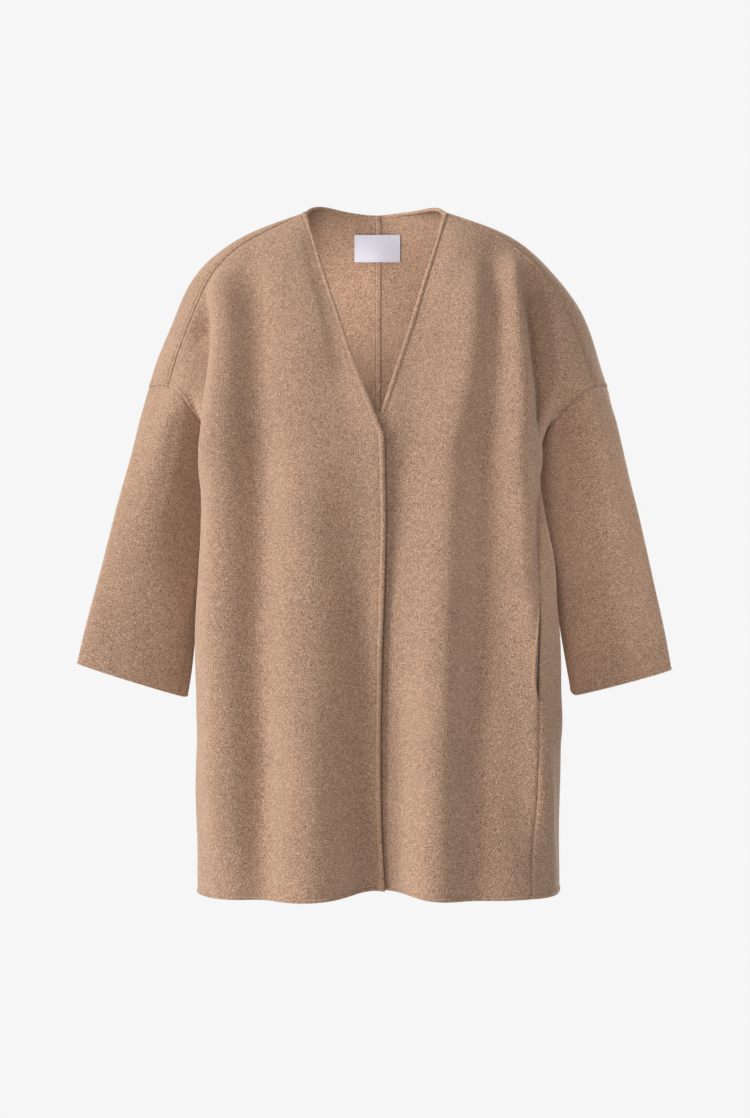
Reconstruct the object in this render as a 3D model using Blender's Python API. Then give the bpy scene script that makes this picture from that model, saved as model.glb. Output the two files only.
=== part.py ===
"""Collarless wool coat with a V neck, dropped shoulders and pockets in its side seams.

The coat is a hollow worn form: every piece is a sheet of cloth with a real wall, cut where a
maker would cut it and parted from its neighbour by a seam gap. Metres, +Z up, the front faces -Y
and +X is the wearer's left. The origin is between the shoulders, in the middle of the neck.
"""

from typing import NamedTuple

import bpy
import numpy as np

# Cloth and seams
CLOTH = 0.0025
SEAM_GAP = 0.0003
LAY_GAP = 0.0008

# Levels of the body
UNDERARM = -0.307
COAT_LENGTH = 0.9055

# Lift of the hem where the two fronts meet
HEM_LIFT = 0.0095
HEM_LIFT_PLACE = 0.010
HEM_LIFT_WIDTH = 0.050

# How the under front sinks beneath the upper one
UNDER_SINK = 0.0048
UNDER_FROM = 0.018
UNDER_FADE = 0.050
UNDER_TOP = -0.205
UNDER_TOP_FADE = 0.060

# Shape of the body's level sections: 2 is an ellipse, more is squarer
FRONT_SQUARENESS = 3.2
BACK_SQUARENESS = 2.5

# The underarm points, how far the cloth beside them hangs below the turn of the armhole, and
# the share of a panel's width from which its side is drawn in to them
UNDERARM_POINT = {"right": (-0.210, -0.012, UNDERARM), "left": (0.208, -0.016, UNDERARM)}
FRONT_SAG = 0.015
BACK_SAG = 0.050
FRONT_TUCK_FROM = 0.80
BACK_TUCK_FROM = 0.70
TUCK_RISE = 0.55

# The turn of the armhole round the arm: how cloth leaves the underarm point
FRONT_ARM_TURN = (0.60, -0.60, 0.40)
BACK_ARM_TURN = (0.30, 1.00, 0.06)
ARM_TURN_FROM = 0.75

# Neck: the share of the back's width that hangs from it, its centre and its curve
NECK_SHARE = 0.30
NECK_CENTRE = (0.0, 0.066, 0.002)
NECK_LEAVE = 1.10
NECK_ARRIVE = (0.25, -0.090, -0.068)
NECK_STAND = (0.0, -0.35, 0.94)
NECK_TWIST = 1.3
FRONT_NECK_LEAN = (0.19, 0.62, 0.78)

# How the edge of a front leaves the underarm level towards its side of the neck
FRONT_EDGE_TURN = (0.75, 0.0, 0.66)
FRONT_EDGE_WIDTH = 0.20

# Lean of the cloth where it passes over the shoulder seam, in radians from level
NECK_LEAN = 0.40
SHOULDER_LEAN = 0.68

# Sleeves: how much their inner and outer sides leave the armhole outwards
SLEEVE_FLARE = {"right": 0.16, "left": -0.075}
SLEEVE_SWELL = {"right": 0.07, "left": 0.055}

# Pockets: the mouth in the side seam, how far it gapes, and the bag behind it
POCKET_TOP = -0.515
POCKET_FOOT = -0.644
POCKET_GAPE = 0.0032
POCKET_RISE = 0.050
POCKET_DROP = 0.085
POCKET_COLUMNS = 10
POCKET_WALL = 0.0012

# Label inside the back of the neck
LABEL_WIDTH = 0.0625
LABEL_HEIGHT = 0.0365
LABEL_WALL = 0.0010
LABEL_TOP = -0.0235
LABEL_SHIFT = 0.0020

# Mesh steps
FRONT_COLUMNS = 21
COLUMN_CROWDING = 0.25
NECK_COLUMNS = 5
SKIRT_ROWS = 15
YOKE_ROWS = 12
SLEEVE_ROWS = 13
LABEL_COLUMNS = 8
LABEL_ROWS = 5
RING_STEPS = 1440

# Colours
WOOL = (0.40, 0.265, 0.175, 1.0)
LABEL_WHITE = (0.80, 0.78, 0.82, 1.0)

SIDES = {"left": 1.0, "right": -1.0}


class Girth(NamedTuple):
    """One level section of the body: half widths on each side, and depths to front and back."""

    level: float
    right: float
    left: float
    front: float
    back: float


GIRTHS = (
    Girth(-0.9055, 0.2360, 0.2430, 0.132, 0.130),
    Girth(-0.7800, 0.2370, 0.2450, 0.132, 0.130),
    Girth(-0.6400, 0.2425, 0.2520, 0.132, 0.126),
    Girth(-0.5000, 0.2430, 0.2450, 0.131, 0.118),
    Girth(-0.4000, 0.2400, 0.2380, 0.130, 0.111),
    Girth(-0.3070, 0.2500, 0.2350, 0.127, 0.106),
)


class SidePoint(NamedTuple):
    """One point of the side seams: their distances round the body from the centre front."""

    level: float
    right: float
    left: float


SIDE_SEAM = (
    SidePoint(-0.9055, 0.312, 0.206),
    SidePoint(-0.6400, 0.312, 0.208),
    SidePoint(-0.4500, 0.308, 0.230),
    SidePoint(-0.3070, 0.296, 0.280),
)


class SeamPoint(NamedTuple):
    """One point of the shoulder seams: height, how far out it is on each side, and depth."""

    level: float
    right: float
    left: float
    depth: float


SHOULDER_SEAM = (
    SeamPoint(-0.006, 0.092, 0.090, -0.006),
    SeamPoint(-0.020, 0.129, 0.127, -0.011),
    SeamPoint(-0.042, 0.166, 0.170, -0.015),
    SeamPoint(-0.080, 0.211, 0.211, -0.022),
    SeamPoint(-0.130, 0.2375, 0.247, -0.030),
    SeamPoint(-0.183, 0.2585, 0.271, -0.036),
    SeamPoint(-0.238, 0.276, 0.288, -0.040),
)


class EdgePoint(NamedTuple):
    """One point of the front edges: its height, and the places of the upper and under edge."""

    level: float
    right: float
    left: float


FRONT_EDGE = (
    EdgePoint(-0.9055, 0.0120, -0.0170),
    EdgePoint(-0.7800, 0.0060, -0.0180),
    EdgePoint(-0.6000, 0.0080, -0.0180),
    EdgePoint(-0.4200, 0.0125, -0.0180),
    EdgePoint(-0.3070, 0.0105, -0.0085),
)


class Pull(NamedTuple):
    """How strongly cloth above the underarm leaves that level and arrives at its upper edge."""

    across: float
    leave: float
    arrive: float


FRONT_PULLS = (
    Pull(0.00, 0.055, 0.20),
    Pull(0.30, 0.24, 0.16),
    Pull(0.70, 0.24, 0.14),
    Pull(1.00, 0.14, 0.15),
)
BACK_PULLS = (
    Pull(0.00, 0.26, 0.18),
    Pull(0.30, 0.34, 0.36),
    Pull(0.50, 0.34, 0.33),
    Pull(0.75, 0.36, 0.35),
    Pull(1.00, 0.38, 0.38),
)


class Fold(NamedTuple):
    """A hanging fold: a ridge where it rises and a furrow where it sinks.

    Places are distances round the body, to the wearer's left, from the centre front or back.
    """

    from_back: bool
    top: float
    foot: float
    place_top: float
    place_foot: float
    half_width: float
    rise_top: float
    rise_foot: float


FOLDS = (
    Fold(False, -0.30, -1.00, 0.004, 0.008, 0.055, -0.004, -0.045),
    Fold(False, -0.20, -0.64, 0.014, 0.014, 0.034, 0.010, 0.006),
    Fold(False, -0.14, -1.00, -0.092, -0.088, 0.048, 0.008, 0.017),
    Fold(False, -0.03, -1.10, -0.154, -0.150, 0.028, -0.015, -0.012),
    Fold(False, -0.05, -0.90, -0.204, -0.206, 0.028, 0.018, 0.010),
    Fold(False, -0.05, -0.33, -0.243, -0.246, 0.018, -0.014, -0.014),
    Fold(False, -0.20, -0.385, -0.236, -0.240, 0.026, 0.0075, 0.0075),
    Fold(False, -0.05, -1.00, 0.118, 0.054, 0.038, 0.015, 0.023),
    Fold(False, -0.03, -1.10, 0.147, 0.108, 0.026, -0.016, -0.012),
    Fold(False, -0.04, -0.86, 0.182, 0.206, 0.024, 0.021, 0.012),
    Fold(False, -0.05, -0.33, 0.216, 0.236, 0.016, -0.014, -0.014),
    Fold(False, -0.27, -0.52, 0.228, 0.232, 0.026, 0.007, 0.007),
    Fold(False, -0.28, -0.72, -0.345, -0.350, 0.060, -0.012, -0.012),
    Fold(False, -0.28, -0.70, 0.352, 0.356, 0.060, -0.013, -0.027),
    Fold(True, -0.20, -1.00, 0.000, 0.000, 0.060, -0.004, -0.016),
    Fold(True, -0.16, -1.00, 0.105, 0.095, 0.050, 0.006, 0.014),
    Fold(True, -0.16, -1.00, -0.110, -0.098, 0.050, 0.006, 0.013),
    Fold(True, -0.30, -1.00, 0.190, 0.175, 0.040, -0.004, -0.012),
    Fold(True, -0.30, -1.00, -0.190, -0.180, 0.040, -0.004, -0.012),
)
FOLD_FADE = 0.08
FOLD_END = 0.60


class Cuff(NamedTuple):
    """The open end of a sleeve: outer and inner ends of its width, its depth and its seam's turn."""

    outer: tuple
    inner: tuple
    half_depth: float
    seam_turn: float


CUFFS = {
    "left": Cuff((0.3925, -0.015, -0.6118), (0.2599, 0.005, -0.6481), 0.033, 0.25),
    "right": Cuff((0.3969, -0.015, -0.6036), (0.2514, 0.005, -0.6501), 0.027, 0.55),
}


def smooth_step(low, high, value):
    """0 below low, 1 above high and a soft rise between."""
    t = np.clip((value - low) / (high - low), 0.0, 1.0)
    return t * t * (3.0 - 2.0 * t)


def unit(vectors):
    return vectors / np.linalg.norm(vectors, axis=-1, keepdims=True)


def column(table, name):
    return np.array([getattr(row, name) for row in table])


def spline(knots, values, at):
    """A natural cubic spline through values at rising knots, read at the places given."""
    values = np.asarray(values, float)
    count = len(knots)
    step = np.diff(knots)
    matrix = np.eye(count)
    right = np.zeros_like(values)
    for i in range(1, count - 1):
        matrix[i, i - 1] = step[i - 1]
        matrix[i, i] = 2.0 * (step[i - 1] + step[i])
        matrix[i, i + 1] = step[i]
        rise = (values[i + 1] - values[i]) / step[i] - (values[i] - values[i - 1]) / step[i - 1]
        right[i] = 6.0 * rise
    bend = np.linalg.solve(matrix, right)
    at = np.clip(np.asarray(at, float), knots[0], knots[-1])
    i = np.clip(np.searchsorted(knots, at) - 1, 0, count - 2)
    shape = at.shape + (1,) * (values.ndim - 1)
    width = step[i].reshape(shape)
    a = (knots[i + 1] - at).reshape(shape) / width
    b = 1.0 - a
    curve = (a**3 - a) * bend[i] + (b**3 - b) * bend[i + 1]
    return a * values[i] + b * values[i + 1] + curve * width**2 / 6.0


def hermite(start, end, leave, arrive, shares):
    """Cubic curves from start to end, one for each row of the arrays, read at the shares."""
    t = np.asarray(shares)[:, None, None]
    from_start = 2 * t**3 - 3 * t**2 + 1
    to_end = -2 * t**3 + 3 * t**2
    from_leave = t**3 - 2 * t**2 + t
    to_arrive = t**3 - t**2
    return from_start * start + to_end * end + from_leave * leave + to_arrive * arrive


def lengths_along(points):
    """Distances along a line of points from its first one."""
    steps = np.linalg.norm(np.diff(points, axis=0), axis=1)
    return np.concatenate([[0.0], np.cumsum(steps)])


def girth_at(level, name):
    return spline(column(GIRTHS, "level"), column(GIRTHS, name), level)


def section(level, angle):
    """Points of the body's plain level section; angle 0 is the front and a half turn the back."""
    sine, cosine = np.sin(angle), np.cos(angle)
    half = np.where(sine < 0, girth_at(level, "right"), girth_at(level, "left"))
    depth = np.where(cosine > 0, girth_at(level, "front"), girth_at(level, "back"))
    power = 2.0 / np.where(cosine > 0, FRONT_SQUARENESS, BACK_SQUARENESS)
    x = half * np.sign(sine) * np.abs(sine) ** power
    y = -depth * np.sign(cosine) * np.abs(cosine) ** power
    return np.stack([x, y, level], axis=-1)


class Ring:
    """A level section measured along the cloth from the centre front."""

    def __init__(self, level):
        self.angles = np.linspace(-np.pi, np.pi, RING_STEPS + 1)
        along = lengths_along(section(np.full(RING_STEPS + 1, level), self.angles))
        self.along = along - along[RING_STEPS // 2]

    def half(self, side):
        """Length from the centre front to the centre back on one side, with that side's sign."""
        return self.along[-1] if SIDES[side] > 0 else self.along[0]

    def angle(self, place):
        return np.interp(place, self.along, self.angles)


def hem_level(place):
    """The hem hangs level and lifts a little where the two fronts meet."""
    return -COAT_LENGTH + HEM_LIFT * np.exp(-(((place - HEM_LIFT_PLACE) / HEM_LIFT_WIDTH) ** 2))


def side_seam(side, level):
    """Place of a side seam, with the sign of its side."""
    return SIDES[side] * spline(column(SIDE_SEAM, "level"), column(SIDE_SEAM, side), level)


def fold_rise(place, back_place, level):
    """Sum of all folds at places round the body."""
    total = np.zeros_like(place)
    for fold in FOLDS:
        share = np.clip((fold.top - level) / (fold.top - fold.foot), 0.0, 1.0)
        middle = fold.place_top + (fold.place_foot - fold.place_top) * share
        rise = fold.rise_top + (fold.rise_foot - fold.rise_top) * share
        away = (back_place if fold.from_back else place) - middle
        fade = smooth_step(0.0, FOLD_FADE, fold.top - level)
        fade = fade * smooth_step(0.0, FOLD_FADE, level - fold.foot)
        total += rise * np.exp(-((away / fold.half_width) ** 2)) * fade
    return total


def seam_share(across):
    """Share along the shoulder seam that lies above a share of the underarm level's width."""
    return 0.35 * across + 0.65 * across**3


def shoulder_seam(side, share):
    """Points of the shoulder seam from the neck, at 0, to the armhole, at 1."""
    out = column(SHOULDER_SEAM, side) * SIDES[side]
    knots = np.stack([out, column(SHOULDER_SEAM, "depth"), column(SHOULDER_SEAM, "level")], axis=1)
    along = lengths_along(knots)
    return spline(along / along[-1], knots, share)


def seam_crossing(side, share):
    """Directions in which the cloth crosses the shoulder seam, from the front to the back."""
    step = 1e-3
    before = shoulder_seam(side, np.clip(share - step, 0.0, 1.0))
    after = shoulder_seam(side, np.clip(share + step, 0.0, 1.0))
    run = after - before
    outward = unit(np.stack([-run[:, 2], 0.0 * run[:, 1], run[:, 0]], axis=1)) * SIDES[side]
    lean = NECK_LEAN + (SHOULDER_LEAN - NECK_LEAN) * smooth_step(0.0, 0.35, share)[:, None]
    return np.cos(lean) * np.array([0.0, 1.0, 0.0]) + np.sin(lean) * outward


def neck_line(neck_end, shares):
    """The back of the neck, from the centre back to the shoulder seam."""
    centre = np.array(NECK_CENTRE)
    leave = np.array([neck_end[0] * NECK_LEAVE, 0.0, 0.0])
    arrive = np.array(NECK_ARRIVE) * (neck_end[0], 1.0, 1.0)
    return hermite(centre[None], neck_end[None], leave[None], arrive[None], shares)[:, 0]


def panel_columns():
    """Shares of a panel's width at its columns, closer together towards the armhole."""
    even = np.linspace(0.0, 1.0, FRONT_COLUMNS + 1)
    return even * (1.0 + COLUMN_CROWDING - COLUMN_CROWDING * even)


def skirt(side, inner_end, across, sag, tuck_from):
    """The part of a panel below the underarm, as points with their places.

    inner_end gives the place of the panel's edge at the centre, at a level.
    """
    points, places = [], []
    hang = sag * (1.0 - smooth_step(0.70, 1.0, across)) * smooth_step(0.0, 0.2, across)
    rise = np.linspace(0.0, 1.0, SKIRT_ROWS + 1)
    for v in rise:
        nominal = -COAT_LENGTH + v * (UNDERARM + COAT_LENGTH)
        ring = Ring(nominal)
        first = inner_end(nominal, ring)
        place = first + (side_seam(side, nominal) - first) * across
        foot = hem_level(place)
        points.append(section(foot + v * (UNDERARM - hang - foot), ring.angle(place)))
        places.append(place)
    points = np.array(points)
    weight = smooth_step(TUCK_RISE, 1.0, rise)[:, None] * smooth_step(tuck_from, 1.0, across)
    shift = np.array(UNDERARM_POINT[side]) - points[-1, -1]
    return points + weight[..., None] * shift, np.array(places)


def pulls_at(table, across):
    """The leaving and arriving pulls at shares of a panel's width."""
    knots = column(table, "across")
    leave = spline(knots, column(table, "leave"), across)[:, None]
    arrive = spline(knots, column(table, "arrive"), across)[:, None]
    return leave, arrive


def yoke(low, top, leave, arrive, across, arm_turn):
    """The part of a panel above the underarm: cloth that rises from the skirt and turns to top.

    Its side leaves the underarm level in the direction of arm_turn, round the arm.
    """
    turn = smooth_step(ARM_TURN_FROM, 1.0, across)[:, None]
    round_arm = unit(np.array(arm_turn)) * np.linalg.norm(leave, axis=1, keepdims=True)
    rows = np.linspace(0.0, 1.0, YOKE_ROWS + 1)[1:]
    return hermite(low[-1], top, leave * (1.0 - turn) + round_arm * turn, arrive, rows)


def normals_of(points, outward):
    """Unit normals of a grid of points, turned to the side that outward gives."""
    return outward * unit(np.cross(np.gradient(points, axis=0), np.gradient(points, axis=1)))


class Panel:
    """A grid of points on the outside of one piece of cloth.

    Row 0 is the hem or the armhole, and column 0 is the centre or the underarm seam. Places are
    distances round the body from the centre front, and back places from the centre back.
    """

    def __init__(self, name, points, places, back_places, outward):
        self.name = name
        self.points = points
        self.places = places
        self.back_places = back_places
        self.outward = outward
        self.normals = normals_of(points, outward)

    def drape(self):
        """Raises the folds, which end before the shoulder seam, and finds the new normals."""
        rise = fold_rise(self.places, self.back_places, self.points[..., 2])
        up = np.clip(np.arange(len(rise)) - SKIRT_ROWS, 0, None) / YOKE_ROWS
        rise = rise * (1.0 - smooth_step(FOLD_END, 1.0, up))[:, None]
        self.points = self.points + self.normals * rise[..., None]
        self.normals = normals_of(self.points, self.outward)


def front_panel(side):
    """One front, from its edge to the side seam and up to the shoulder."""
    sign = SIDES[side]

    def edge(level, ring):
        return spline(column(FRONT_EDGE, "level"), column(FRONT_EDGE, side), level)

    across = panel_columns()
    low, places = skirt(side, edge, across, FRONT_SAG, FRONT_TUCK_FROM)
    top = shoulder_seam(side, seam_share(across))
    neck = smooth_step(0.0, 0.25, across)[:, None]
    lean = unit(np.array(FRONT_NECK_LEAN) * (sign, 1.0, 1.0))
    arrive = unit(seam_crossing(side, seam_share(across)) * neck + lean * (1.0 - neck))
    turn = np.array(FRONT_ARM_TURN) * (sign, 1.0, 1.0)
    edge_turn = unit(np.array(FRONT_EDGE_TURN) * (sign, 1.0, 1.0))
    near = 1.0 - smooth_step(0.0, FRONT_EDGE_WIDTH, across)[:, None]
    leave = unit(unit(low[-1] - low[-2]) * (1.0 - near) + edge_turn * near)
    leave_pull, arrive_pull = pulls_at(FRONT_PULLS, across)
    rise = yoke(low, top, leave * leave_pull, arrive * arrive_pull, across, turn)
    points = np.concatenate([low, rise])
    places = np.concatenate([places, np.repeat(places[-1:], YOKE_ROWS, axis=0)])
    return Panel(f"front_{side}", points, places, np.ones(places.shape), -sign)


def back_panel(side):
    """One back, from the centre back seam to the side seam and up over the shoulder."""
    sign = SIDES[side]

    def centre(level, ring):
        return ring.half(side)

    seam_across = panel_columns()
    neck_across = np.linspace(0.0, 1.0, NECK_COLUMNS + 1)[:-1]
    across = np.concatenate([neck_across * NECK_SHARE, NECK_SHARE + (1 - NECK_SHARE) * seam_across])
    low, places = skirt(side, centre, across, BACK_SAG, BACK_TUCK_FROM)
    seam = shoulder_seam(side, seam_share(seam_across))
    top = np.concatenate([neck_line(seam[0], neck_across), seam])
    leave_pull, arrive_pull = pulls_at(BACK_PULLS, across)
    over = -seam_crossing(side, seam_share(seam_across)) * arrive_pull[NECK_COLUMNS:]
    stand = np.array(NECK_STAND) * arrive_pull[0]
    blend = neck_across[:, None] ** NECK_TWIST
    arrive = np.concatenate([stand * (1.0 - blend) + over[:1] * blend, over])
    turn = np.array(BACK_ARM_TURN) * (sign, 1.0, 1.0)
    leave = unit(low[-1] - low[-2]) * leave_pull
    points = np.concatenate([low, yoke(low, top, leave, arrive, across, turn)])
    places = np.concatenate([places, np.repeat(places[-1:], YOKE_ROWS, axis=0)])
    return Panel(f"back_{side}", points, places, places - places[:, :1], sign)


def cuff_ring(side, shares):
    """Points round a cuff, from the underarm seam through the front, the outside and the back."""
    cuff = CUFFS[side]
    flip = (SIDES[side], 1.0, 1.0)
    outer, inner = np.array(cuff.outer) * flip, np.array(cuff.inner) * flip
    half = (inner - outer) / 2
    depth = unit(np.cross(half, (half[2], 0.0, -half[0]))) * cuff.half_depth
    depth = depth * np.sign(-depth[1])
    turn = 2 * np.pi * shares[:, None] + cuff.seam_turn
    return (outer + inner) / 2 + np.cos(turn) * half + np.sin(turn) * depth


def sleeve_panel(side, front, back):
    """One sleeve, rolled from the armhole to the cuff with its seam under the arm."""
    arm = slice(SKIRT_ROWS, None)
    ring = np.concatenate([front.points[arm, -1], back.points[arm, -1][-2::-1]])
    along = lengths_along(ring)
    cuff = cuff_ring(side, along / along[-1])
    middle = ring[:-1].mean(axis=0)
    down = unit(cuff[:-1].mean(axis=0) - middle)
    outward = np.array([SIDES[side], 0.0, 0.0])
    facing = unit(ring - middle) @ outward
    flare = np.where(facing > 0, SLEEVE_SWELL[side], -SLEEVE_FLARE[side]) * facing
    leave = unit(down + flare[:, None] * outward)
    length = np.linalg.norm(cuff - ring, axis=1)[:, None]
    shares = np.linspace(0.0, 1.0, SLEEVE_ROWS + 1)
    points = hermite(ring, cuff, leave * length, down * length, shares)
    none = np.zeros(points.shape[:2])
    return Panel(f"sleeve_{side}", points, none, none, SIDES[side])


def share_normals(edges):
    """Gives the points that panels share at a seam one normal, save where it is a sharp fold."""
    own = [panel.normals[index] for panel, index in edges]
    mean = unit(sum(own))
    weight = smooth_step(0.45, 0.75, np.sum(own[0] * mean, axis=-1, keepdims=True))
    for (panel, index), normal in zip(edges, own):
        panel.normals[index] = unit(normal * (1.0 - weight) + mean * weight)


def body_seams(panels):
    """The seams between the four body panels, each as the edges that meet in it."""
    low = slice(None, SKIRT_ROWS + 1)
    seams = [[(panels["back_left"], np.s_[:, 0]), (panels["back_right"], np.s_[:, 0])]]
    for side in SIDES:
        front, back = panels[f"front_{side}"], panels[f"back_{side}"]
        seams.append([(front, np.s_[low, -1]), (back, np.s_[low, -1])])
        seams.append([(front, np.s_[-1, :]), (back, np.s_[-1, NECK_COLUMNS:])])
    return seams


def sleeve_seams(front, back, sleeve):
    """The seams of one sleeve: under the arm, to the front, to the back and at the shoulder."""
    up, down = np.s_[SKIRT_ROWS:, -1], np.s_[-1 : SKIRT_ROWS - 1 : -1, -1]
    corner = np.s_[-1:, -1]
    return [
        [(sleeve, np.s_[:, 0]), (sleeve, np.s_[:, -1])],
        [(front, up), (sleeve, np.s_[0, : YOKE_ROWS + 1])],
        [(back, down), (sleeve, np.s_[0, YOKE_ROWS:])],
        [(front, corner), (back, corner), (sleeve, np.s_[0, YOKE_ROWS : YOKE_ROWS + 1])],
    ]


def sink_under_front(panel):
    """Lowers the under front where the other front lies over it."""
    near = 1.0 - smooth_step(UNDER_FROM, UNDER_FROM + UNDER_FADE, panel.places)
    high = smooth_step(UNDER_TOP - UNDER_TOP_FADE, UNDER_TOP, panel.points[..., 2])
    panel.points = panel.points - panel.normals * (UNDER_SINK * near * (1.0 - high))[..., None]


def draw_back(panel, edge, inner, distance):
    """Draws an edge of a panel back, towards the next line of points."""
    toward = unit(panel.points[inner] - panel.points[edge])
    panel.points[edge] = panel.points[edge] + toward * distance


def part_seams(panel):
    """Draws a panel back from its seams by half the seam gap, and further at a pocket's mouth."""
    half = SEAM_GAP / 2
    if panel.name.startswith("front"):
        level = panel.points[:, -1, 2]
        share = np.clip((level - POCKET_FOOT) / (POCKET_TOP - POCKET_FOOT), 0.0, 1.0)
        gape = POCKET_GAPE * np.sin(np.pi * share)[:, None]
        draw_back(panel, np.s_[:, -1], np.s_[:, -2], half + gape)
        draw_back(panel, np.s_[-1, :], np.s_[-2, :], half)
        return
    draw_back(panel, np.s_[:, -1], np.s_[:, -2], half)
    draw_back(panel, np.s_[:, 0], np.s_[:, 1], half)
    if panel.name.startswith("back"):
        draw_back(panel, np.s_[-1, :], np.s_[-2, :], half)
    else:
        draw_back(panel, np.s_[0, :], np.s_[1, :], half)


def sheet(name, outer, inner, outward, material):
    """A closed sheet between two grids of points; outward is that of the outer grid's panel."""
    if outward > 0:
        outer, inner = outer[:, ::-1], inner[:, ::-1]
    rows, columns = outer.shape[:2]
    points = np.concatenate([outer.reshape(-1, 3), inner.reshape(-1, 3)])

    def at(row, col, layer):
        return (layer * rows + row) * columns + col

    faces = []
    for r in range(rows - 1):
        for c in range(columns - 1):
            faces.append((at(r, c, 0), at(r, c + 1, 0), at(r + 1, c + 1, 0), at(r + 1, c, 0)))
            faces.append((at(r, c, 1), at(r + 1, c, 1), at(r + 1, c + 1, 1), at(r, c + 1, 1)))
    rim = [(r, 0) for r in range(rows - 1, 0, -1)]
    rim += [(0, c) for c in range(columns - 1)]
    rim += [(r, columns - 1) for r in range(rows - 1)]
    rim += [(rows - 1, c) for c in range(columns - 1, 0, -1)]
    for here, after in zip(rim, rim[1:] + rim[:1]):
        a, b, far_b, far_a = at(*here, 0), at(*after, 0), at(*after, 1), at(*here, 1)
        if points[a][2] > points[b][2]:
            faces += [(b, a, far_b), (a, far_a, far_b)]
        else:
            faces += [(b, a, far_a), (b, far_a, far_b)]
    mesh = bpy.data.meshes.new(name)
    mesh.from_pydata(points.tolist(), [], faces)
    mesh.materials.append(material)
    mesh.shade_smooth()
    mesh.set_sharp_from_angle(angle=0.9)
    bpy.context.scene.collection.objects.link(bpy.data.objects.new(name, mesh))


def pocket_bag(side, front, back, material):
    """The two layers of a pocket bag, made from the panels' own points moved in.

    The front layer hangs from the front's edge; the back layer reaches past the side seam.
    """
    levels = front.points[: SKIRT_ROWS + 1, -1, 2]
    inside = (levels > POCKET_FOOT - POCKET_DROP) & (levels < POCKET_TOP + POCKET_RISE)
    rows = np.nonzero(inside)[0]
    wide = np.s_[rows[0] : rows[-1] + 1, -1 - POCKET_COLUMNS :]
    narrow = np.s_[rows[0] : rows[-1] + 1, -1 - POCKET_COLUMNS : -1]
    past = np.s_[rows[0] : rows[-1] + 1, -2:-4:-1]
    depth = CLOTH + LAY_GAP
    outer = front.points[narrow] - front.normals[narrow] * depth
    inner = front.points[narrow] - front.normals[narrow] * (depth + POCKET_WALL)
    sheet(f"pocket_front_{side}", outer, inner, front.outward, material)
    depth = depth + POCKET_WALL + LAY_GAP
    points = np.concatenate([front.points[wide], back.points[past]], axis=1)
    normals = np.concatenate([front.normals[wide], back.normals[past]], axis=1)
    outer = points - normals * depth
    inner = points - normals * (depth + POCKET_WALL)
    sheet(f"pocket_back_{side}", outer, inner, front.outward, material)


def label(panels, material):
    """The label, laid on the inside of both backs below the neck."""
    right, left = panels["back_right"], panels["back_left"]
    points = np.concatenate([right.points[:, NECK_COLUMNS:0:-1], left.points[:, : NECK_COLUMNS + 1]], 1)
    normals = np.concatenate(
        [right.normals[:, NECK_COLUMNS:0:-1], left.normals[:, : NECK_COLUMNS + 1]], 1
    )
    both = np.concatenate([points, normals], axis=2)[:SKIRT_ROWS:-1]
    grid = []
    for x in np.linspace(-0.5, 0.5, LABEL_COLUMNS) * LABEL_WIDTH + LABEL_SHIFT:
        line = np.array([[np.interp(x, row[:, 0], row[:, k]) for k in range(6)] for row in both])
        levels = LABEL_TOP - np.linspace(0.0, LABEL_HEIGHT, LABEL_ROWS)
        grid.append([[np.interp(-z, -line[:, 2], line[:, k]) for k in range(6)] for z in levels])
    grid = np.array(grid)
    lie = grid[..., :3] - unit(grid[..., 3:]) * (CLOTH + LAY_GAP)
    face = grid[..., :3] - unit(grid[..., 3:]) * (CLOTH + LAY_GAP + LABEL_WALL)
    sheet("label", lie, face, 1.0, material)


def cloth_material(name, colour, roughness):
    material = bpy.data.materials.new(name)
    material.use_nodes = True
    shader = material.node_tree.nodes["Principled BSDF"]
    shader.inputs["Base Color"].default_value = colour
    shader.inputs["Roughness"].default_value = roughness
    return material


def main():
    for obj in list(bpy.data.objects):
        bpy.data.objects.remove(obj)
    wool = cloth_material("wool", WOOL, 0.95)
    satin = cloth_material("label_satin", LABEL_WHITE, 0.45)

    panels = {}
    for side in SIDES:
        for panel in (front_panel(side), back_panel(side)):
            panels[panel.name] = panel
    for seam in body_seams(panels):
        share_normals(seam)
    for panel in panels.values():
        panel.drape()
    for seam in body_seams(panels):
        share_normals(seam)
    sink_under_front(panels["front_left"])

    for side in SIDES:
        front, back = panels[f"front_{side}"], panels[f"back_{side}"]
        sleeve = sleeve_panel(side, front, back)
        panels[sleeve.name] = sleeve
        for seam in sleeve_seams(front, back, sleeve):
            share_normals(seam)
        pocket_bag(side, front, back, wool)
    label(panels, satin)
    for name, panel in panels.items():
        part_seams(panel)
        sheet(name, panel.points, panel.points - panel.normals * CLOTH, panel.outward, wool)
    return panels


PANELS = main()
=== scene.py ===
"""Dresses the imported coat: felted wool panels with turned edges and sewn seams, and a bare label.

Every sheet is laid again on the form of its solid, closer, with its seams, bands and creases.
Metres, +Z up, the front faces -Y and +X is the wearer's left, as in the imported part.
"""

from __future__ import annotations

import logging
import math
from dataclasses import dataclass, field, replace
from enum import Enum
from functools import partial
from typing import Callable, NamedTuple

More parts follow.
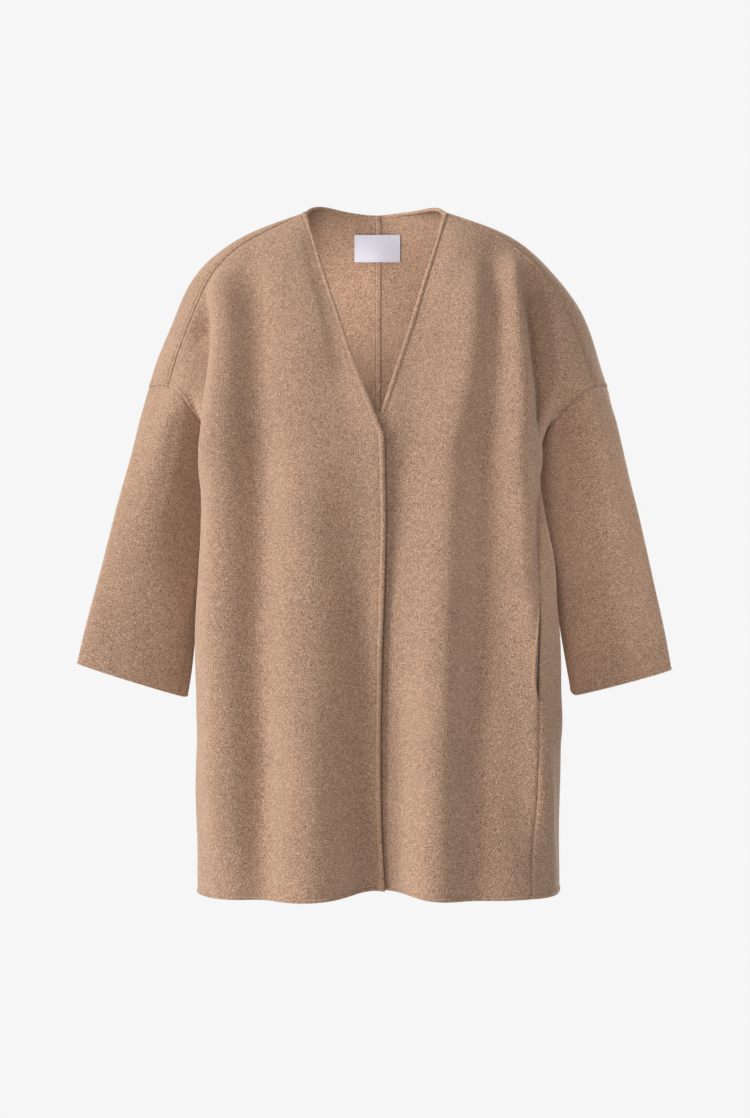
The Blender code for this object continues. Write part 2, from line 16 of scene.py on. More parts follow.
import bpy
import numpy as np
from bpy.types import ID, Material, Node, NodeSocket, NodeTree, Object
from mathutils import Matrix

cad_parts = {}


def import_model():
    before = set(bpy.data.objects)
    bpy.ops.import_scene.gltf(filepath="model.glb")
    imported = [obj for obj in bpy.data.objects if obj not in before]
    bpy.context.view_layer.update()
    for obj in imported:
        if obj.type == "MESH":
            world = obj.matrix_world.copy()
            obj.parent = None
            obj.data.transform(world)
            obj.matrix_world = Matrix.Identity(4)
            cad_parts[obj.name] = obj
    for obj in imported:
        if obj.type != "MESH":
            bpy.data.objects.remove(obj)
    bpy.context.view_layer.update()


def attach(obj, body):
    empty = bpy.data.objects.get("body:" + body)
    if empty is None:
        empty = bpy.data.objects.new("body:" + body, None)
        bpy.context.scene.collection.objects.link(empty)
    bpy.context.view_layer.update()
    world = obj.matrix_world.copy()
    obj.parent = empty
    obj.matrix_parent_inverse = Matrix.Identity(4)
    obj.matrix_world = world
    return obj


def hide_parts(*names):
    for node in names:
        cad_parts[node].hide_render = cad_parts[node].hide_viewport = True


Array = np.ndarray
Marks = tuple[float, ...]
Span = tuple[float, float]
Point = tuple[float, float, float]
Pairs = tuple[tuple[str, object], ...]
LOG = logging.getLogger("coat")

# Thickness of the wool, and the gap between layers that lie on each other
CLOTH = 0.0025
LAY_GAP = 0.0008

# Steps of the close grid that every sheet is first laid on
FRONT_COLUMNS = 150
COLUMN_CROWDING = 0.25
NECK_COLUMNS = 56
SKIRT_ROWS = 225
YOKE_ROWS = 130
SLEEVE_ROWS = 150
LEAVE_ROWS = 15

# Distances from an edge at which a finished sheet has lines of points
FELL_MARK = 0.0051
FREE_MARKS: Marks = (
    0.0, 0.0003, 0.0008, 0.0014, 0.0022, 0.0031, 0.0039, 0.0045, FELL_MARK, 0.0057, 0.0066, 0.0080, 0.0100,
)
SEAM_MARKS: Marks = (
    0.0, 0.0005, 0.0011, 0.0018, 0.0028, 0.0042, 0.0058, 0.0072, 0.0081, 0.0089, 0.0097, 0.0108, 0.0125,
)
BACK_TOP_MARKS: Marks = tuple(sorted(FREE_MARKS + SEAM_MARKS[-4:]))
NO_MARKS: Marks = (0.0,)

# How far a seam draws its cloth in and over which width, and the cosines between which the cloths
# that meet in it change from a sharp fold to one smooth surface
SEAM_DRAW = 0.0016
SEAM_DRAW_WIDTH = 0.0026
SHARP_FOLD: Span = (0.45, 0.75)
# How creases bow, end, fade beside edges and turn out of sight round the cloth
CREASE_BOW = 0.06
CREASE_END = 0.8
CREASE_FADE: Span = (0.002, 0.014)
CREASE_SIGHT: Span = (-0.1, 0.3)


class Side(Enum):
    """The wearer's side that a piece is on; the value is the sign of X there."""

    LEFT = 1.0
    RIGHT = -1.0

    @property
    def word(self) -> str:
        """The side's name as the nodes and tables use it."""
        return self.name.lower()

    def mirror(self, point: Point) -> Array:
        """A point or direction of the left side, put on this side."""
        return np.array(point) * (self.value, 1.0, 1.0)


class Girth(NamedTuple):
    """One level section of the body: half widths on each side, and depths to front and back."""

    level: float
    right: float
    left: float
    front: float
    back: float


class SidePoint(NamedTuple):
    """A point of the side seams or front edges: its places round the body from the centre front."""

    level: float
    right: float
    left: float


class SeamPoint(NamedTuple):
    """A point of the shoulder seams: height, how far out it is on each side, and depth."""

    level: float
    right: float
    left: float
    depth: float


class Pull(NamedTuple):
    """How strongly cloth above the underarm leaves that level and arrives at its upper edge."""

    across: float
    leave: float
    arrive: float


class Fold(NamedTuple):
    """A hanging fold, by its places round the body from the centre front or the centre back."""

    from_back: bool
    top: float
    foot: float
    place_top: float
    place_foot: float
    half_width: float
    rise_top: float
    rise_foot: float


class Cuff(NamedTuple):
    """The open end of a sleeve: the ends of its width, its depth and its seam's turn."""

    outer: Point
    inner: Point
    half_depth: float
    seam_turn: float


class Crease(NamedTuple):
    """A soft trough, or a ridge if it rises, seen from the front or the back as a line in X and Z."""

    piece: str
    behind: bool
    start: Span
    end: Span
    half_width: float
    rise: float


GIRTHS = (
    Girth(-0.9055, 0.2360, 0.2430, 0.132, 0.130),
    Girth(-0.7800, 0.2370, 0.2450, 0.132, 0.130),
    Girth(-0.6400, 0.2425, 0.2520, 0.132, 0.126),
    Girth(-0.5000, 0.2430, 0.2450, 0.131, 0.118),
    Girth(-0.4000, 0.2400, 0.2380, 0.130, 0.111),
    Girth(-0.3070, 0.2500, 0.2350, 0.127, 0.106),
)
SIDE_SEAM = (
    SidePoint(-0.9055, 0.312, 0.206),
    SidePoint(-0.6400, 0.312, 0.208),
    SidePoint(-0.4500, 0.308, 0.230),
    SidePoint(-0.3070, 0.296, 0.280),
)
FRONT_EDGE = (
    SidePoint(-0.9055, 0.0120, -0.0170),
    SidePoint(-0.7800, 0.0060, -0.0180),
    SidePoint(-0.6000, 0.0080, -0.0180),
    SidePoint(-0.4200, 0.0125, -0.0180),
    SidePoint(-0.3070, 0.0105, -0.0085),
)
SHOULDER_SEAM = (
    SeamPoint(-0.006, 0.092, 0.090, -0.006),
    SeamPoint(-0.020, 0.129, 0.127, -0.011),
    SeamPoint(-0.042, 0.166, 0.170, -0.015),
    SeamPoint(-0.080, 0.211, 0.211, -0.022),
    SeamPoint(-0.130, 0.2375, 0.247, -0.030),
    SeamPoint(-0.183, 0.2585, 0.271, -0.036),
    SeamPoint(-0.238, 0.276, 0.288, -0.040),
)
FRONT_PULLS = (
    Pull(0.00, 0.055, 0.20),
    Pull(0.30, 0.24, 0.16),
    Pull(0.70, 0.24, 0.14),
    Pull(1.00, 0.14, 0.15),
)
BACK_PULLS = (
    Pull(0.00, 0.26, 0.18),
    Pull(0.30, 0.34, 0.36),
    Pull(0.50, 0.34, 0.33),
    Pull(0.75, 0.36, 0.35),
    Pull(1.00, 0.38, 0.38),
)
FOLDS = (
    Fold(False, -0.30, -1.00, 0.004, 0.008, 0.053, -0.004, -0.050),
    Fold(False, -0.45, -1.02, -0.016, -0.016, 0.022, -0.002, -0.012),
    Fold(False, -0.20, -0.64, 0.014, 0.014, 0.034, 0.010, 0.006),
    Fold(False, -0.14, -1.00, -0.092, -0.088, 0.048, 0.008, 0.017),
    Fold(False, -0.03, -1.10, -0.154, -0.150, 0.028, -0.010, -0.017),
    Fold(False, -0.26, -0.98, -0.143, -0.141, 0.034, -0.006, -0.004),
    Fold(False, -0.05, -0.90, -0.204, -0.206, 0.028, 0.018, 0.010),
    Fold(False, -0.04, -0.36, -0.243, -0.254, 0.018, -0.026, -0.019),
    Fold(False, -0.20, -0.385, -0.236, -0.240, 0.026, 0.0075, 0.0075),
    Fold(False, -0.05, -1.00, 0.118, 0.056, 0.042, 0.018, 0.024),
    Fold(False, -0.03, -1.10, 0.138, 0.122, 0.026, -0.014, -0.009),
    Fold(False, -0.25, -0.72, 0.128, 0.124, 0.024, -0.004, -0.004),
    Fold(False, -0.04, -0.86, 0.157, 0.226, 0.023, 0.022, 0.014),
    Fold(False, -0.05, -0.34, 0.185, 0.236, 0.016, -0.025, -0.024),
    Fold(False, -0.28, -0.54, 0.252, 0.256, 0.030, 0.011, 0.008),
    Fold(False, -0.28, -0.72, -0.345, -0.350, 0.060, -0.012, -0.012),
    Fold(False, -0.28, -0.70, 0.352, 0.356, 0.060, -0.013, -0.027),
    Fold(True, -0.20, -1.00, 0.000, 0.000, 0.060, -0.004, -0.016),
    Fold(True, -0.16, -1.00, 0.105, 0.095, 0.050, 0.006, 0.014),
    Fold(True, -0.16, -1.00, -0.110, -0.098, 0.050, 0.006, 0.013),
    Fold(True, -0.30, -1.00, 0.190, 0.175, 0.040, -0.004, -0.012),
    Fold(True, -0.30, -1.00, -0.190, -0.180, 0.040, -0.004, -0.012),
)
CUFFS = {
    Side.LEFT: Cuff((0.3925, -0.015, -0.6118), (0.2599, 0.005, -0.6481), 0.033, 0.25),
    Side.RIGHT: Cuff((0.3969, -0.015, -0.6036), (0.2514, 0.005, -0.6501), 0.027, 0.55),
}
UNDERARM_POINT = {Side.RIGHT: (-0.210, -0.012, -0.307), Side.LEFT: (0.208, -0.016, -0.307)}
CREASES = (
    Crease("sleeve_left", False, (0.268, -0.586), (0.312, -0.606), 0.006, -0.0034),
    Crease("sleeve_left", False, (0.282, -0.600), (0.322, -0.618), 0.007, 0.0018),
    Crease("sleeve_left", True, (0.285, -0.420), (0.335, -0.450), 0.012, -0.0022),
    Crease("sleeve_right", True, (-0.285, -0.400), (-0.340, -0.436), 0.012, -0.0022),
    Crease("sleeve_right", False, (-0.275, -0.560), (-0.325, -0.585), 0.010, -0.0012),
    Crease("back_left", True, (0.060, -0.260), (0.190, -0.200), 0.020, -0.0022),
    Crease("back_right", True, (-0.050, -0.275), (-0.185, -0.205), 0.020, -0.0022),
    Crease("back_left", True, (0.120, -0.395), (0.215, -0.335), 0.016, -0.0024),
    Crease("back_right", True, (-0.130, -0.385), (-0.215, -0.330), 0.016, -0.0022),
)


def smooth_step(low: float, high: float, value: Array) -> Array:
    """Rises softly from 0 to 1.

    Args:
        low: Where the rise starts.
        high: Where it ends.
        value: Where to read it.

    Returns:
        0 below low, 1 above high and a soft rise between.
    """
    t = np.clip((value - low) / (high - low), 0.0, 1.0)
    return t * t * (3.0 - 2.0 * t)


def bell(away: Array, half_width: float) -> Array:
    """A soft hump: 1 where nothing is away, falling off on both sides over the half width."""
    return np.exp(-((away / half_width) ** 2))


def unit(vectors: Array) -> Array:
    """The vectors at length 1."""
    return vectors / np.linalg.norm(vectors, axis=-1, keepdims=True)


def column(table: tuple, name: str) -> Array:
    """One column of a table."""
    return np.array([getattr(row, name) for row in table])


def spline(knots: Array, values: Array, at: Array) -> Array:
    """A natural cubic spline.

    Args:
        knots: Rising places that the spline goes through.
        values: Numbers or points there.
        at: Where to read it.

    Returns:
        The spline's values at those places.
    """
    values = np.asarray(values, float)
    count = len(knots)
    step = np.diff(knots)
    matrix = np.eye(count)
    right = np.zeros_like(values)
    for i in range(1, count - 1):
        matrix[i, i - 1 : i + 2] = step[i - 1], 2.0 * (step[i - 1] + step[i]), step[i]
        right[i] = 6.0 * ((values[i + 1] - values[i]) / step[i] - (values[i] - values[i - 1]) / step[i - 1])
    bend = np.linalg.solve(matrix, right)
    at = np.clip(np.asarray(at, float), knots[0], knots[-1])
    i = np.clip(np.searchsorted(knots, at) - 1, 0, count - 2)
    shape = at.shape + (1,) * (values.ndim - 1)
    width = step[i].reshape(shape)
    a = (knots[i + 1] - at).reshape(shape) / width
    b = 1.0 - a
    curve = (a**3 - a) * bend[i] + (b**3 - b) * bend[i + 1]
    return a * values[i] + b * values[i + 1] + curve * width**2 / 6.0


def hermite(start: Array, end: Array, leave: Array, arrive: Array, shares: Array) -> Array:
    """Cubic curves between two rows of points.

    Args:
        start: Points that the curves leave.
        end: Points that they reach.
        leave: Their directions and pulls at the start.
        arrive: The same at the end.
        shares: Places along the curves, from 0 to 1; its axes come first.

    Returns:
        Points, one row for each share.
    """
    t = np.asarray(shares)[..., None, None] if np.ndim(shares) == 1 else shares
    from_start = 2 * t**3 - 3 * t**2 + 1
    from_leave = t**3 - 2 * t**2 + t
    return from_start * start + (1 - from_start) * end + from_leave * leave + (t**3 - t**2) * arrive


def lengths_along(points: Array) -> Array:
    """Distances along lines of points, down the first axis, from their first one."""
    steps = np.linalg.norm(np.diff(points, axis=0), axis=-1)
    return np.concatenate([np.zeros((1,) + steps.shape[1:]), np.cumsum(steps, axis=0)])


def normals_of(points: Array, outward: float) -> Array:
    """Unit normals of a grid of points, turned to the side that outward gives."""
    return outward * unit(np.cross(np.gradient(points, axis=0), np.gradient(points, axis=1)))


def respace(lines: Array, first: Marks, last: Marks, pitch: float) -> Array:
    """Lines of points read again at new places: close at both ends, even between.

    Args:
        lines: Lines of points, one a row.
        first: Distances from the start that get a point.
        last: Distances from the end that get one.
        pitch: The usual distance between.

    Returns:
        The lines with their new points.
    """
    along = lengths_along(lines.transpose(1, 0, 2)).T
    lengths = along[:, -1:]
    room = np.median(lengths) - first[-1] - last[-1]
    shares = np.linspace(0.0, 1.0, max(2, round(room / pitch)) + 1)[1:-1]
    even = first[-1] + (lengths - last[-1] - first[-1]) * shares
    begin = np.repeat(np.array(first)[None], len(lines), axis=0)
    places = np.concatenate([begin, even, lengths - np.array(last)[::-1]], axis=1)
    out = np.empty(places.shape + (3,))
    for k, (line, here, at) in enumerate(zip(lines, along, places)):
        slope = np.gradient(line, here, axis=0)
        i = np.clip(np.searchsorted(here, at) - 1, 0, len(here) - 2)
        width = (here[i + 1] - here[i])[:, None]
        share = (at - here[i])[:, None] / width
        out[k] = hermite(line[i], line[i + 1], slope[i] * width, slope[i + 1] * width, share)
    return out


@dataclass(frozen=True)
class Waviness:
    """The slight, slow waviness of hung cloth, calm where the sleeves hang against the body."""

    seed: int = 11
    waves: int = 12
    lengths: Span = (0.060, 0.170)
    upright: float = 0.55
    steepness: float = 0.0048
    calm_share: float = 0.9
    calm_out: float = 0.232
    calm_width: float = 0.030
    calm_levels: Span = (-0.72, -0.66)

    def rise(self, points: Array) -> Array:
        """The waves, the same wherever sheets share a point.

        Args:
            points: Points of the cloth.

        Returns:
            How far the cloth stands out there.
        """
        chance = np.random.default_rng(self.seed)
        total = np.zeros(points.shape[:-1])
        for _ in range(self.waves):
            way = unit(chance.normal(size=3) * (1.0, 1.0, self.upright))
            length = chance.uniform(*self.lengths)
            turn = points @ way * (2 * math.pi / length) + chance.uniform(0.0, 2 * math.pi)
            total += self.steepness * length * np.sin(turn)
        beside = bell(np.abs(points[..., 0]) - self.calm_out, self.calm_width)
        return total * (1.0 - self.calm_share * beside * smooth_step(*self.calm_levels, points[..., 2]))


def linear(code: str) -> tuple[float, float, float, float]:
    """Turns an sRGB colour to a linear one.

    Args:
        code: The hex code.

    Returns:
        Red, green, blue and full opacity.
    """
    parts = [int(code[i : i + 2], 16) / 255 for i in (1, 3, 5)]
    red, green, blue = (c / 12.92 if c <= 0.04045 else ((c + 0.055) / 1.055) ** 2.4 for c in parts)
    return red, green, blue, 1.0


def add_node(
    tree: NodeTree,
    kind: str,
    settings: dict[str, object] | None = None,
    values: dict[str | int, object] | None = None,
    links: dict[str | int, NodeSocket | Node] | None = None,
) -> Node:
    """Adds a node to a tree.

    Args:
        tree: A shader's or a geometry tree.
        kind: The node's type.
        settings: Its properties.
        values: Values of its input sockets, by name or index.
        links: What its inputs are linked to, by name or index: a socket, or a node's first output.

    Returns:
        The new node.
    """
    node = tree.nodes.new(kind)
    for name, value in (settings or {}).items():
        setattr(node, name, value)
    for name, value in (values or {}).items():
        node.inputs[name].default_value = value
    for name, source in (links or {}).items():
        socket = source.outputs[0] if isinstance(source, Node) else source
        tree.links.new(socket, node.inputs[name])
    return node


def add_object(name: str, data: ID) -> Object:
    """Adds an object to the scene.

    Args:
        name: Its name.
        data: Its mesh, light or camera.

    Returns:
        The new object, at the origin.
    """
    thing = bpy.data.objects.new(name, data)
    bpy.context.scene.collection.objects.link(thing)
    return thing


@dataclass(frozen=True)
class Finish:
    """A material whose pattern gives its tones and, where it has any, its fine relief."""

    name: str
    tones: tuple[tuple[float, str], ...]
    surface: Pairs
    relief: Span | None = None

    def pattern(self, tree: NodeTree, place: NodeSocket) -> NodeSocket:
        """The pattern's value at a place on the piece, which each kind of finish gives."""
        raise NotImplementedError

    def material(self) -> Material:
        """The material, read on the piece's own coordinates.

        Returns:
            The new material.
        """
        material = bpy.data.materials.new(self.name)
        material.use_nodes = True
        tree = material.node_tree
        shader = tree.nodes["Principled BSDF"]
        value = self.pattern(tree, add_node(tree, "ShaderNodeTexCoord").outputs["Object"])
        ramp = add_node(tree, "ShaderNodeValToRGB", links={"Fac": value})
        stops = ramp.color_ramp.elements
        for stop, (position, code) in zip((stops[0], stops[1]), (self.tones[0], self.tones[-1])):
            stop.position, stop.color = position, linear(code)
        for position, code in self.tones[1:-1]:
            stops.new(position).color = linear(code)
        tree.links.new(ramp.outputs["Color"], shader.inputs["Base Color"])
        if self.relief:
            sizes = dict(zip(("Strength", "Distance"), self.relief))
            bump = add_node(tree, "ShaderNodeBump", values=sizes, links={"Height": value})
            tree.links.new(bump.outputs["Normal"], shader.inputs["Normal"])
        for name, setting in self.surface:
            shader.inputs[name].default_value = setting
        return material


@dataclass(frozen=True)
class WoolFinish(Finish):
    """Double-faced felted wool: a matt mix of light and dark fibres with a short soft nap."""

    name: str = "felted_wool_melange"
    tones: tuple[tuple[float, str], ...] = ((0.40, "#796050"), (0.50, "#af8e75"), (0.60, "#e2bda2"))
    surface: Pairs = (
        ("Roughness", 0.92),
        ("Diffuse Roughness", 0.6),
        ("Specular IOR Level", 0.15),
        ("Sheen Weight", 0.30),
        ("Sheen Roughness", 0.55),
        ("Sheen Tint", linear("#f0dccb")),
    )
    relief: Span | None = (0.55, 0.00035)
    flock_mm: float = 0.90
    comb_mm: float = 0.72
    comb_stretch: float = 0.32
    tuft_mm: float = 4.0
    patch_mm: float = 75.0

    def pattern(self, tree: NodeTree, place: NodeSocket) -> NodeSocket:
        """The mixed fibres.

        Args:
            tree: The material's tree.
            place: The place on the piece.

        Returns:
            The socket of their height, which also sets their tone.
        """
        # The nap is brushed down, so a share of the flocks is drawn out along Z.
        stretch = (1.0, 1.0, self.comb_stretch)
        brushed = add_node(tree, "ShaderNodeMapping", values={"Scale": stretch}, links={"Vector": place})
        total = None
        # Real fibres are 0.02 mm thick: they are drawn as flocks that a picture of the coat shows.
        # Each row gives a place, a size, the noise's detail and a share of the mix.
        for vector, size_mm, detail, share in (
            (place, self.flock_mm, 1.0, 0.76),
            (brushed, self.comb_mm, 1.0, 0.16),
            (place, self.tuft_mm, 2.0, 0.04),
            (place, self.patch_mm, 2.0, 0.04),
        ):
            sizes = {"Scale": 1000.0 / size_mm, "Detail": detail, "Roughness": 0.5}
            noise = add_node(tree, "ShaderNodeTexNoise", values=sizes, links={"Vector": vector})
            part = add_node(
                tree, "ShaderNodeMath", {"operation": "MULTIPLY_ADD"}, {1: share, 2: 0.0}, {0: noise}
            )
            if total is not None:
                tree.links.new(total, part.inputs[2])
            total = part.outputs[0]
        return total


@dataclass(frozen=True)
class TextureFinish(Finish):
    """A finish whose pattern is one texture in two tones."""

    texture: str = "ShaderNodeTexWave"
    settings: Pairs = ()
    sizes: Pairs = ()

    def pattern(self, tree: NodeTree, place: NodeSocket) -> NodeSocket:
        """The socket of the texture's value."""
        links = {"Vector": place}
        return add_node(tree, self.texture, dict(self.settings), dict(self.sizes), links).outputs["Fac"]


# A wave texture of this scale has bands 1 mm apart
BANDS_OF_1_MM = 314.16
# Woven satin: close, pale, smooth threads with a soft gleam along the weft. Its bands are 0.4 mm apart,
# coarser than its threads of 0.2 mm, so that they show.
LABEL_SATIN = TextureFinish(
    "woven_label_satin",
    ((0.0, "#d0cdd9"), (1.0, "#d4d1dc")),
    (("Roughness", 0.42), ("Sheen Weight", 0.15)),
    (0.25, 0.0001),
    settings=(("bands_direction", "Z"),),
    sizes=(("Scale", BANDS_OF_1_MM / 0.4), ("Distortion", 0.8), ("Detail", 1.0)),
)
# Spun sewing thread: its twist breaks its gleam into short slanting dashes, painted into its colour as
# lighter
# bands: a painted highlight. They are about 1 mm apart, coarser than a real twist of about 0.5 mm, so that
# they show.
WOOL_THREAD = TextureFinish(
    "wool_coloured_thread",
    ((0.0, "#94745e"), (1.0, "#ab8a72")),
    (("Roughness", 0.7),),
    settings=(("bands_direction", "DIAGONAL"),),
    sizes=(("Scale", 380.0), ("Distortion", 1.5)),
)
# The label's thread: paler, with the same painted highlight dashes.
LABEL_THREAD = replace(WOOL_THREAD, name="label_thread", tones=((0.0, "#cfccda"), (1.0, "#efeef4")))
# Seamless studio paper: an even, matt, very pale floor with the faintest clouding, 0.3 m wide.
STUDIO_PAPER = TextureFinish(
    "studio_paper",
    ((0.0, "#eeeeee"), (1.0, "#f6f6f6")),
    (("Roughness", 0.95),),
    texture="ShaderNodeTexNoise",
    sizes=(("Scale", 3.0),),
)


class Ring:
    """A level section of the body, measured along the cloth from the centre front."""

    def __init__(self, form: WornForm, level: float) -> None:
        """Measures the section.

        Args:
            form: The worn form.
            level: The section's height.
        """
        self.angles = np.linspace(-np.pi, np.pi, form.ring_steps + 1)
        along = lengths_along(form.section(np.full(form.ring_steps + 1, level), self.angles))
        self.along = along - along[form.ring_steps // 2]

    def half(self, side: Side) -> float:
        """Length from the centre front to the centre back on one side, with that side's sign."""
        return self.along[-1] if side is Side.LEFT else self.along[0]

    def angle(self, place: Array) -> Array:
        """The angles at places round the body."""
        return np.interp(place, self.along, self.angles)


@dataclass(frozen=True)
class WornForm:
    """The hollow form that the coat has when it is worn."""

    underarm: float = -0.307
    length: float = 0.9055
    hem_lift: float = 0.0095
    hem_lift_place: float = 0.010
    hem_lift_width: float = 0.050
    front_squareness: float = 3.2
    back_squareness: float = 2.5
    neck_lean: float = 0.40
    shoulder_lean: float = 0.68
    lean_over: float = 0.35
    fold_fade: float = 0.08
    fold_end: float = 0.82
    ring_steps: int = 1440

    def section(self, level: Array, angle: Array) -> Array:
        """The plain level sections.

        Args:
            level: Heights.
            angle: Turns round the body; 0 is the front and a half turn the back.

        Returns:
            Points of the sections.
        """
        sine, cosine = np.sin(angle), np.cos(angle)
        knots = column(GIRTHS, "level")
        right, left, front, back = (
            spline(knots, column(GIRTHS, name), level) for name in ("right", "left", "front", "back")
        )
        power = 2.0 / np.where(cosine > 0, self.front_squareness, self.back_squareness)
        x = np.where(sine < 0, right, left) * np.sign(sine) * np.abs(sine) ** power
        y = -np.where(cosine > 0, front, back) * np.sign(cosine) * np.abs(cosine) ** power
        return np.stack([x, y, level], axis=-1)

    def hem(self, place: Array) -> Array:
        """Heights of the hem, which lifts a little where the two fronts meet."""
        return -self.length + self.hem_lift * bell(place - self.hem_lift_place, self.hem_lift_width)

    def side_seam(self, side: Side, level: float) -> Array:
        """Place of a side seam, with the sign of its side."""
        return side.value * spline(column(SIDE_SEAM, "level"), column(SIDE_SEAM, side.word), level)

    def folds(self, place: Array, back_place: Array, level: Array) -> Array:
        """Sum of all hanging folds.

        Args:
            place: Distances round the body from the centre front.
            back_place: The same from the centre back.
            level: Heights.

        Returns:
            How far the cloth stands out there.
        """
        total = np.zeros_like(place)
        for fold in FOLDS:
            share = np.clip((fold.top - level) / (fold.top - fold.foot), 0.0, 1.0)
            middle = fold.place_top + (fold.place_foot - fold.place_top) * share
            rise = fold.rise_top + (fold.rise_foot - fold.rise_top) * share
            away = (back_place if fold.from_back else place) - middle
            fade = smooth_step(0.0, self.fold_fade, fold.top - level)
            fade = fade * smooth_step(0.0, self.fold_fade, level - fold.foot)
            total += rise * bell(away, fold.half_width) * fade
        return total

    def shoulder_seam(self, side: Side, share: Array) -> Array:
        """The shoulder seam.

        Args:
            side: The seam's side.
            share: Places along it, from the neck, at 0, to the armhole, at 1.

        Returns:
            Points of the seam.
        """
        out = column(SHOULDER_SEAM, side.word) * side.value
        knots = np.stack([out, column(SHOULDER_SEAM, "depth"), column(SHOULDER_SEAM, "level")], axis=1)
        along = lengths_along(knots)
        return spline(along / along[-1], knots, share)

    def crossing(self, side: Side, share: Array) -> Array:
        """How the cloth crosses the shoulder seam, from the front to the back.

        Args:
            side: The seam's side.
            share: Places along it, from the neck, at 0, to the armhole, at 1.

        Returns:
            Directions there.
        """
        before = self.shoulder_seam(side, np.clip(share - 1e-3, 0.0, 1.0))
        run = self.shoulder_seam(side, np.clip(share + 1e-3, 0.0, 1.0)) - before
        outward = unit(np.stack([-run[:, 2], 0.0 * run[:, 1], run[:, 0]], axis=1)) * side.value
        over = smooth_step(0.0, self.lean_over, share)[:, None]
        lean = self.neck_lean + (self.shoulder_lean - self.neck_lean) * over
        return np.cos(lean) * np.array([0.0, 1.0, 0.0]) + np.sin(lean) * outward


@dataclass
class Cloth:
    """A close grid of points on the outside of one piece of cloth, before its edges are finished.

    Row 0 is the hem or the armhole, and column 0 is the centre or the underarm seam.
    """

    name: str
    side: Side
    points: Array
    outward: float
    places: Array
    back_places: Array
    normals: Array = field(init=False)
    middle: Array = field(init=False)

    def __post_init__(self) -> None:
        """Finds the first normals."""
        self.normals = normals_of(self.points, self.outward)

    def drape(self, form: WornForm) -> None:
        """Raises the folds, which end before the shoulder seam, and the slight waviness.

        Args:
            form: The form that has the folds.
        """
        rise = form.folds(self.places, self.back_places, self.points[..., 2])
        up = np.clip(np.arange(len(rise)) - SKIRT_ROWS, 0, None) / YOKE_ROWS
        rise = rise * (1.0 - smooth_step(form.fold_end, 1.0, up))[:, None] + Waviness().rise(self.points)
        self.points = self.points + self.normals * rise[..., None]
        self.normals = normals_of(self.points, self.outward)

    def lay_middle(self) -> None:
        """Finds the surface in the middle of the wall."""
        self.middle = self.points - self.normals * (CLOTH / 2)


Edges = list[tuple[Cloth, tuple]]


def share_normals(edges: Edges) -> None:
    """Gives the points that sheets share at a seam one normal, save where it is a sharp fold.

    Args:
        edges: The edges that meet in the seam.
    """
    own = [cloth.normals[index] for cloth, index in edges]
    mean = unit(sum(own))
    weight = smooth_step(*SHARP_FOLD, np.sum(own[0] * mean, axis=-1, keepdims=True))
    for (cloth, index), normal in zip(edges, own):
        cloth.normals[index] = unit(normal * (1.0 - weight) + mean * weight)


def sew(edges: Edges) -> None:
    """Brings the middles of the sheets that meet in a seam together.

    Args:
        edges: The edges that meet in the seam.
    """
    mean = sum(cloth.middle[index] for cloth, index in edges) / len(edges)
    for cloth, index in edges:
        cloth.middle[index] = mean


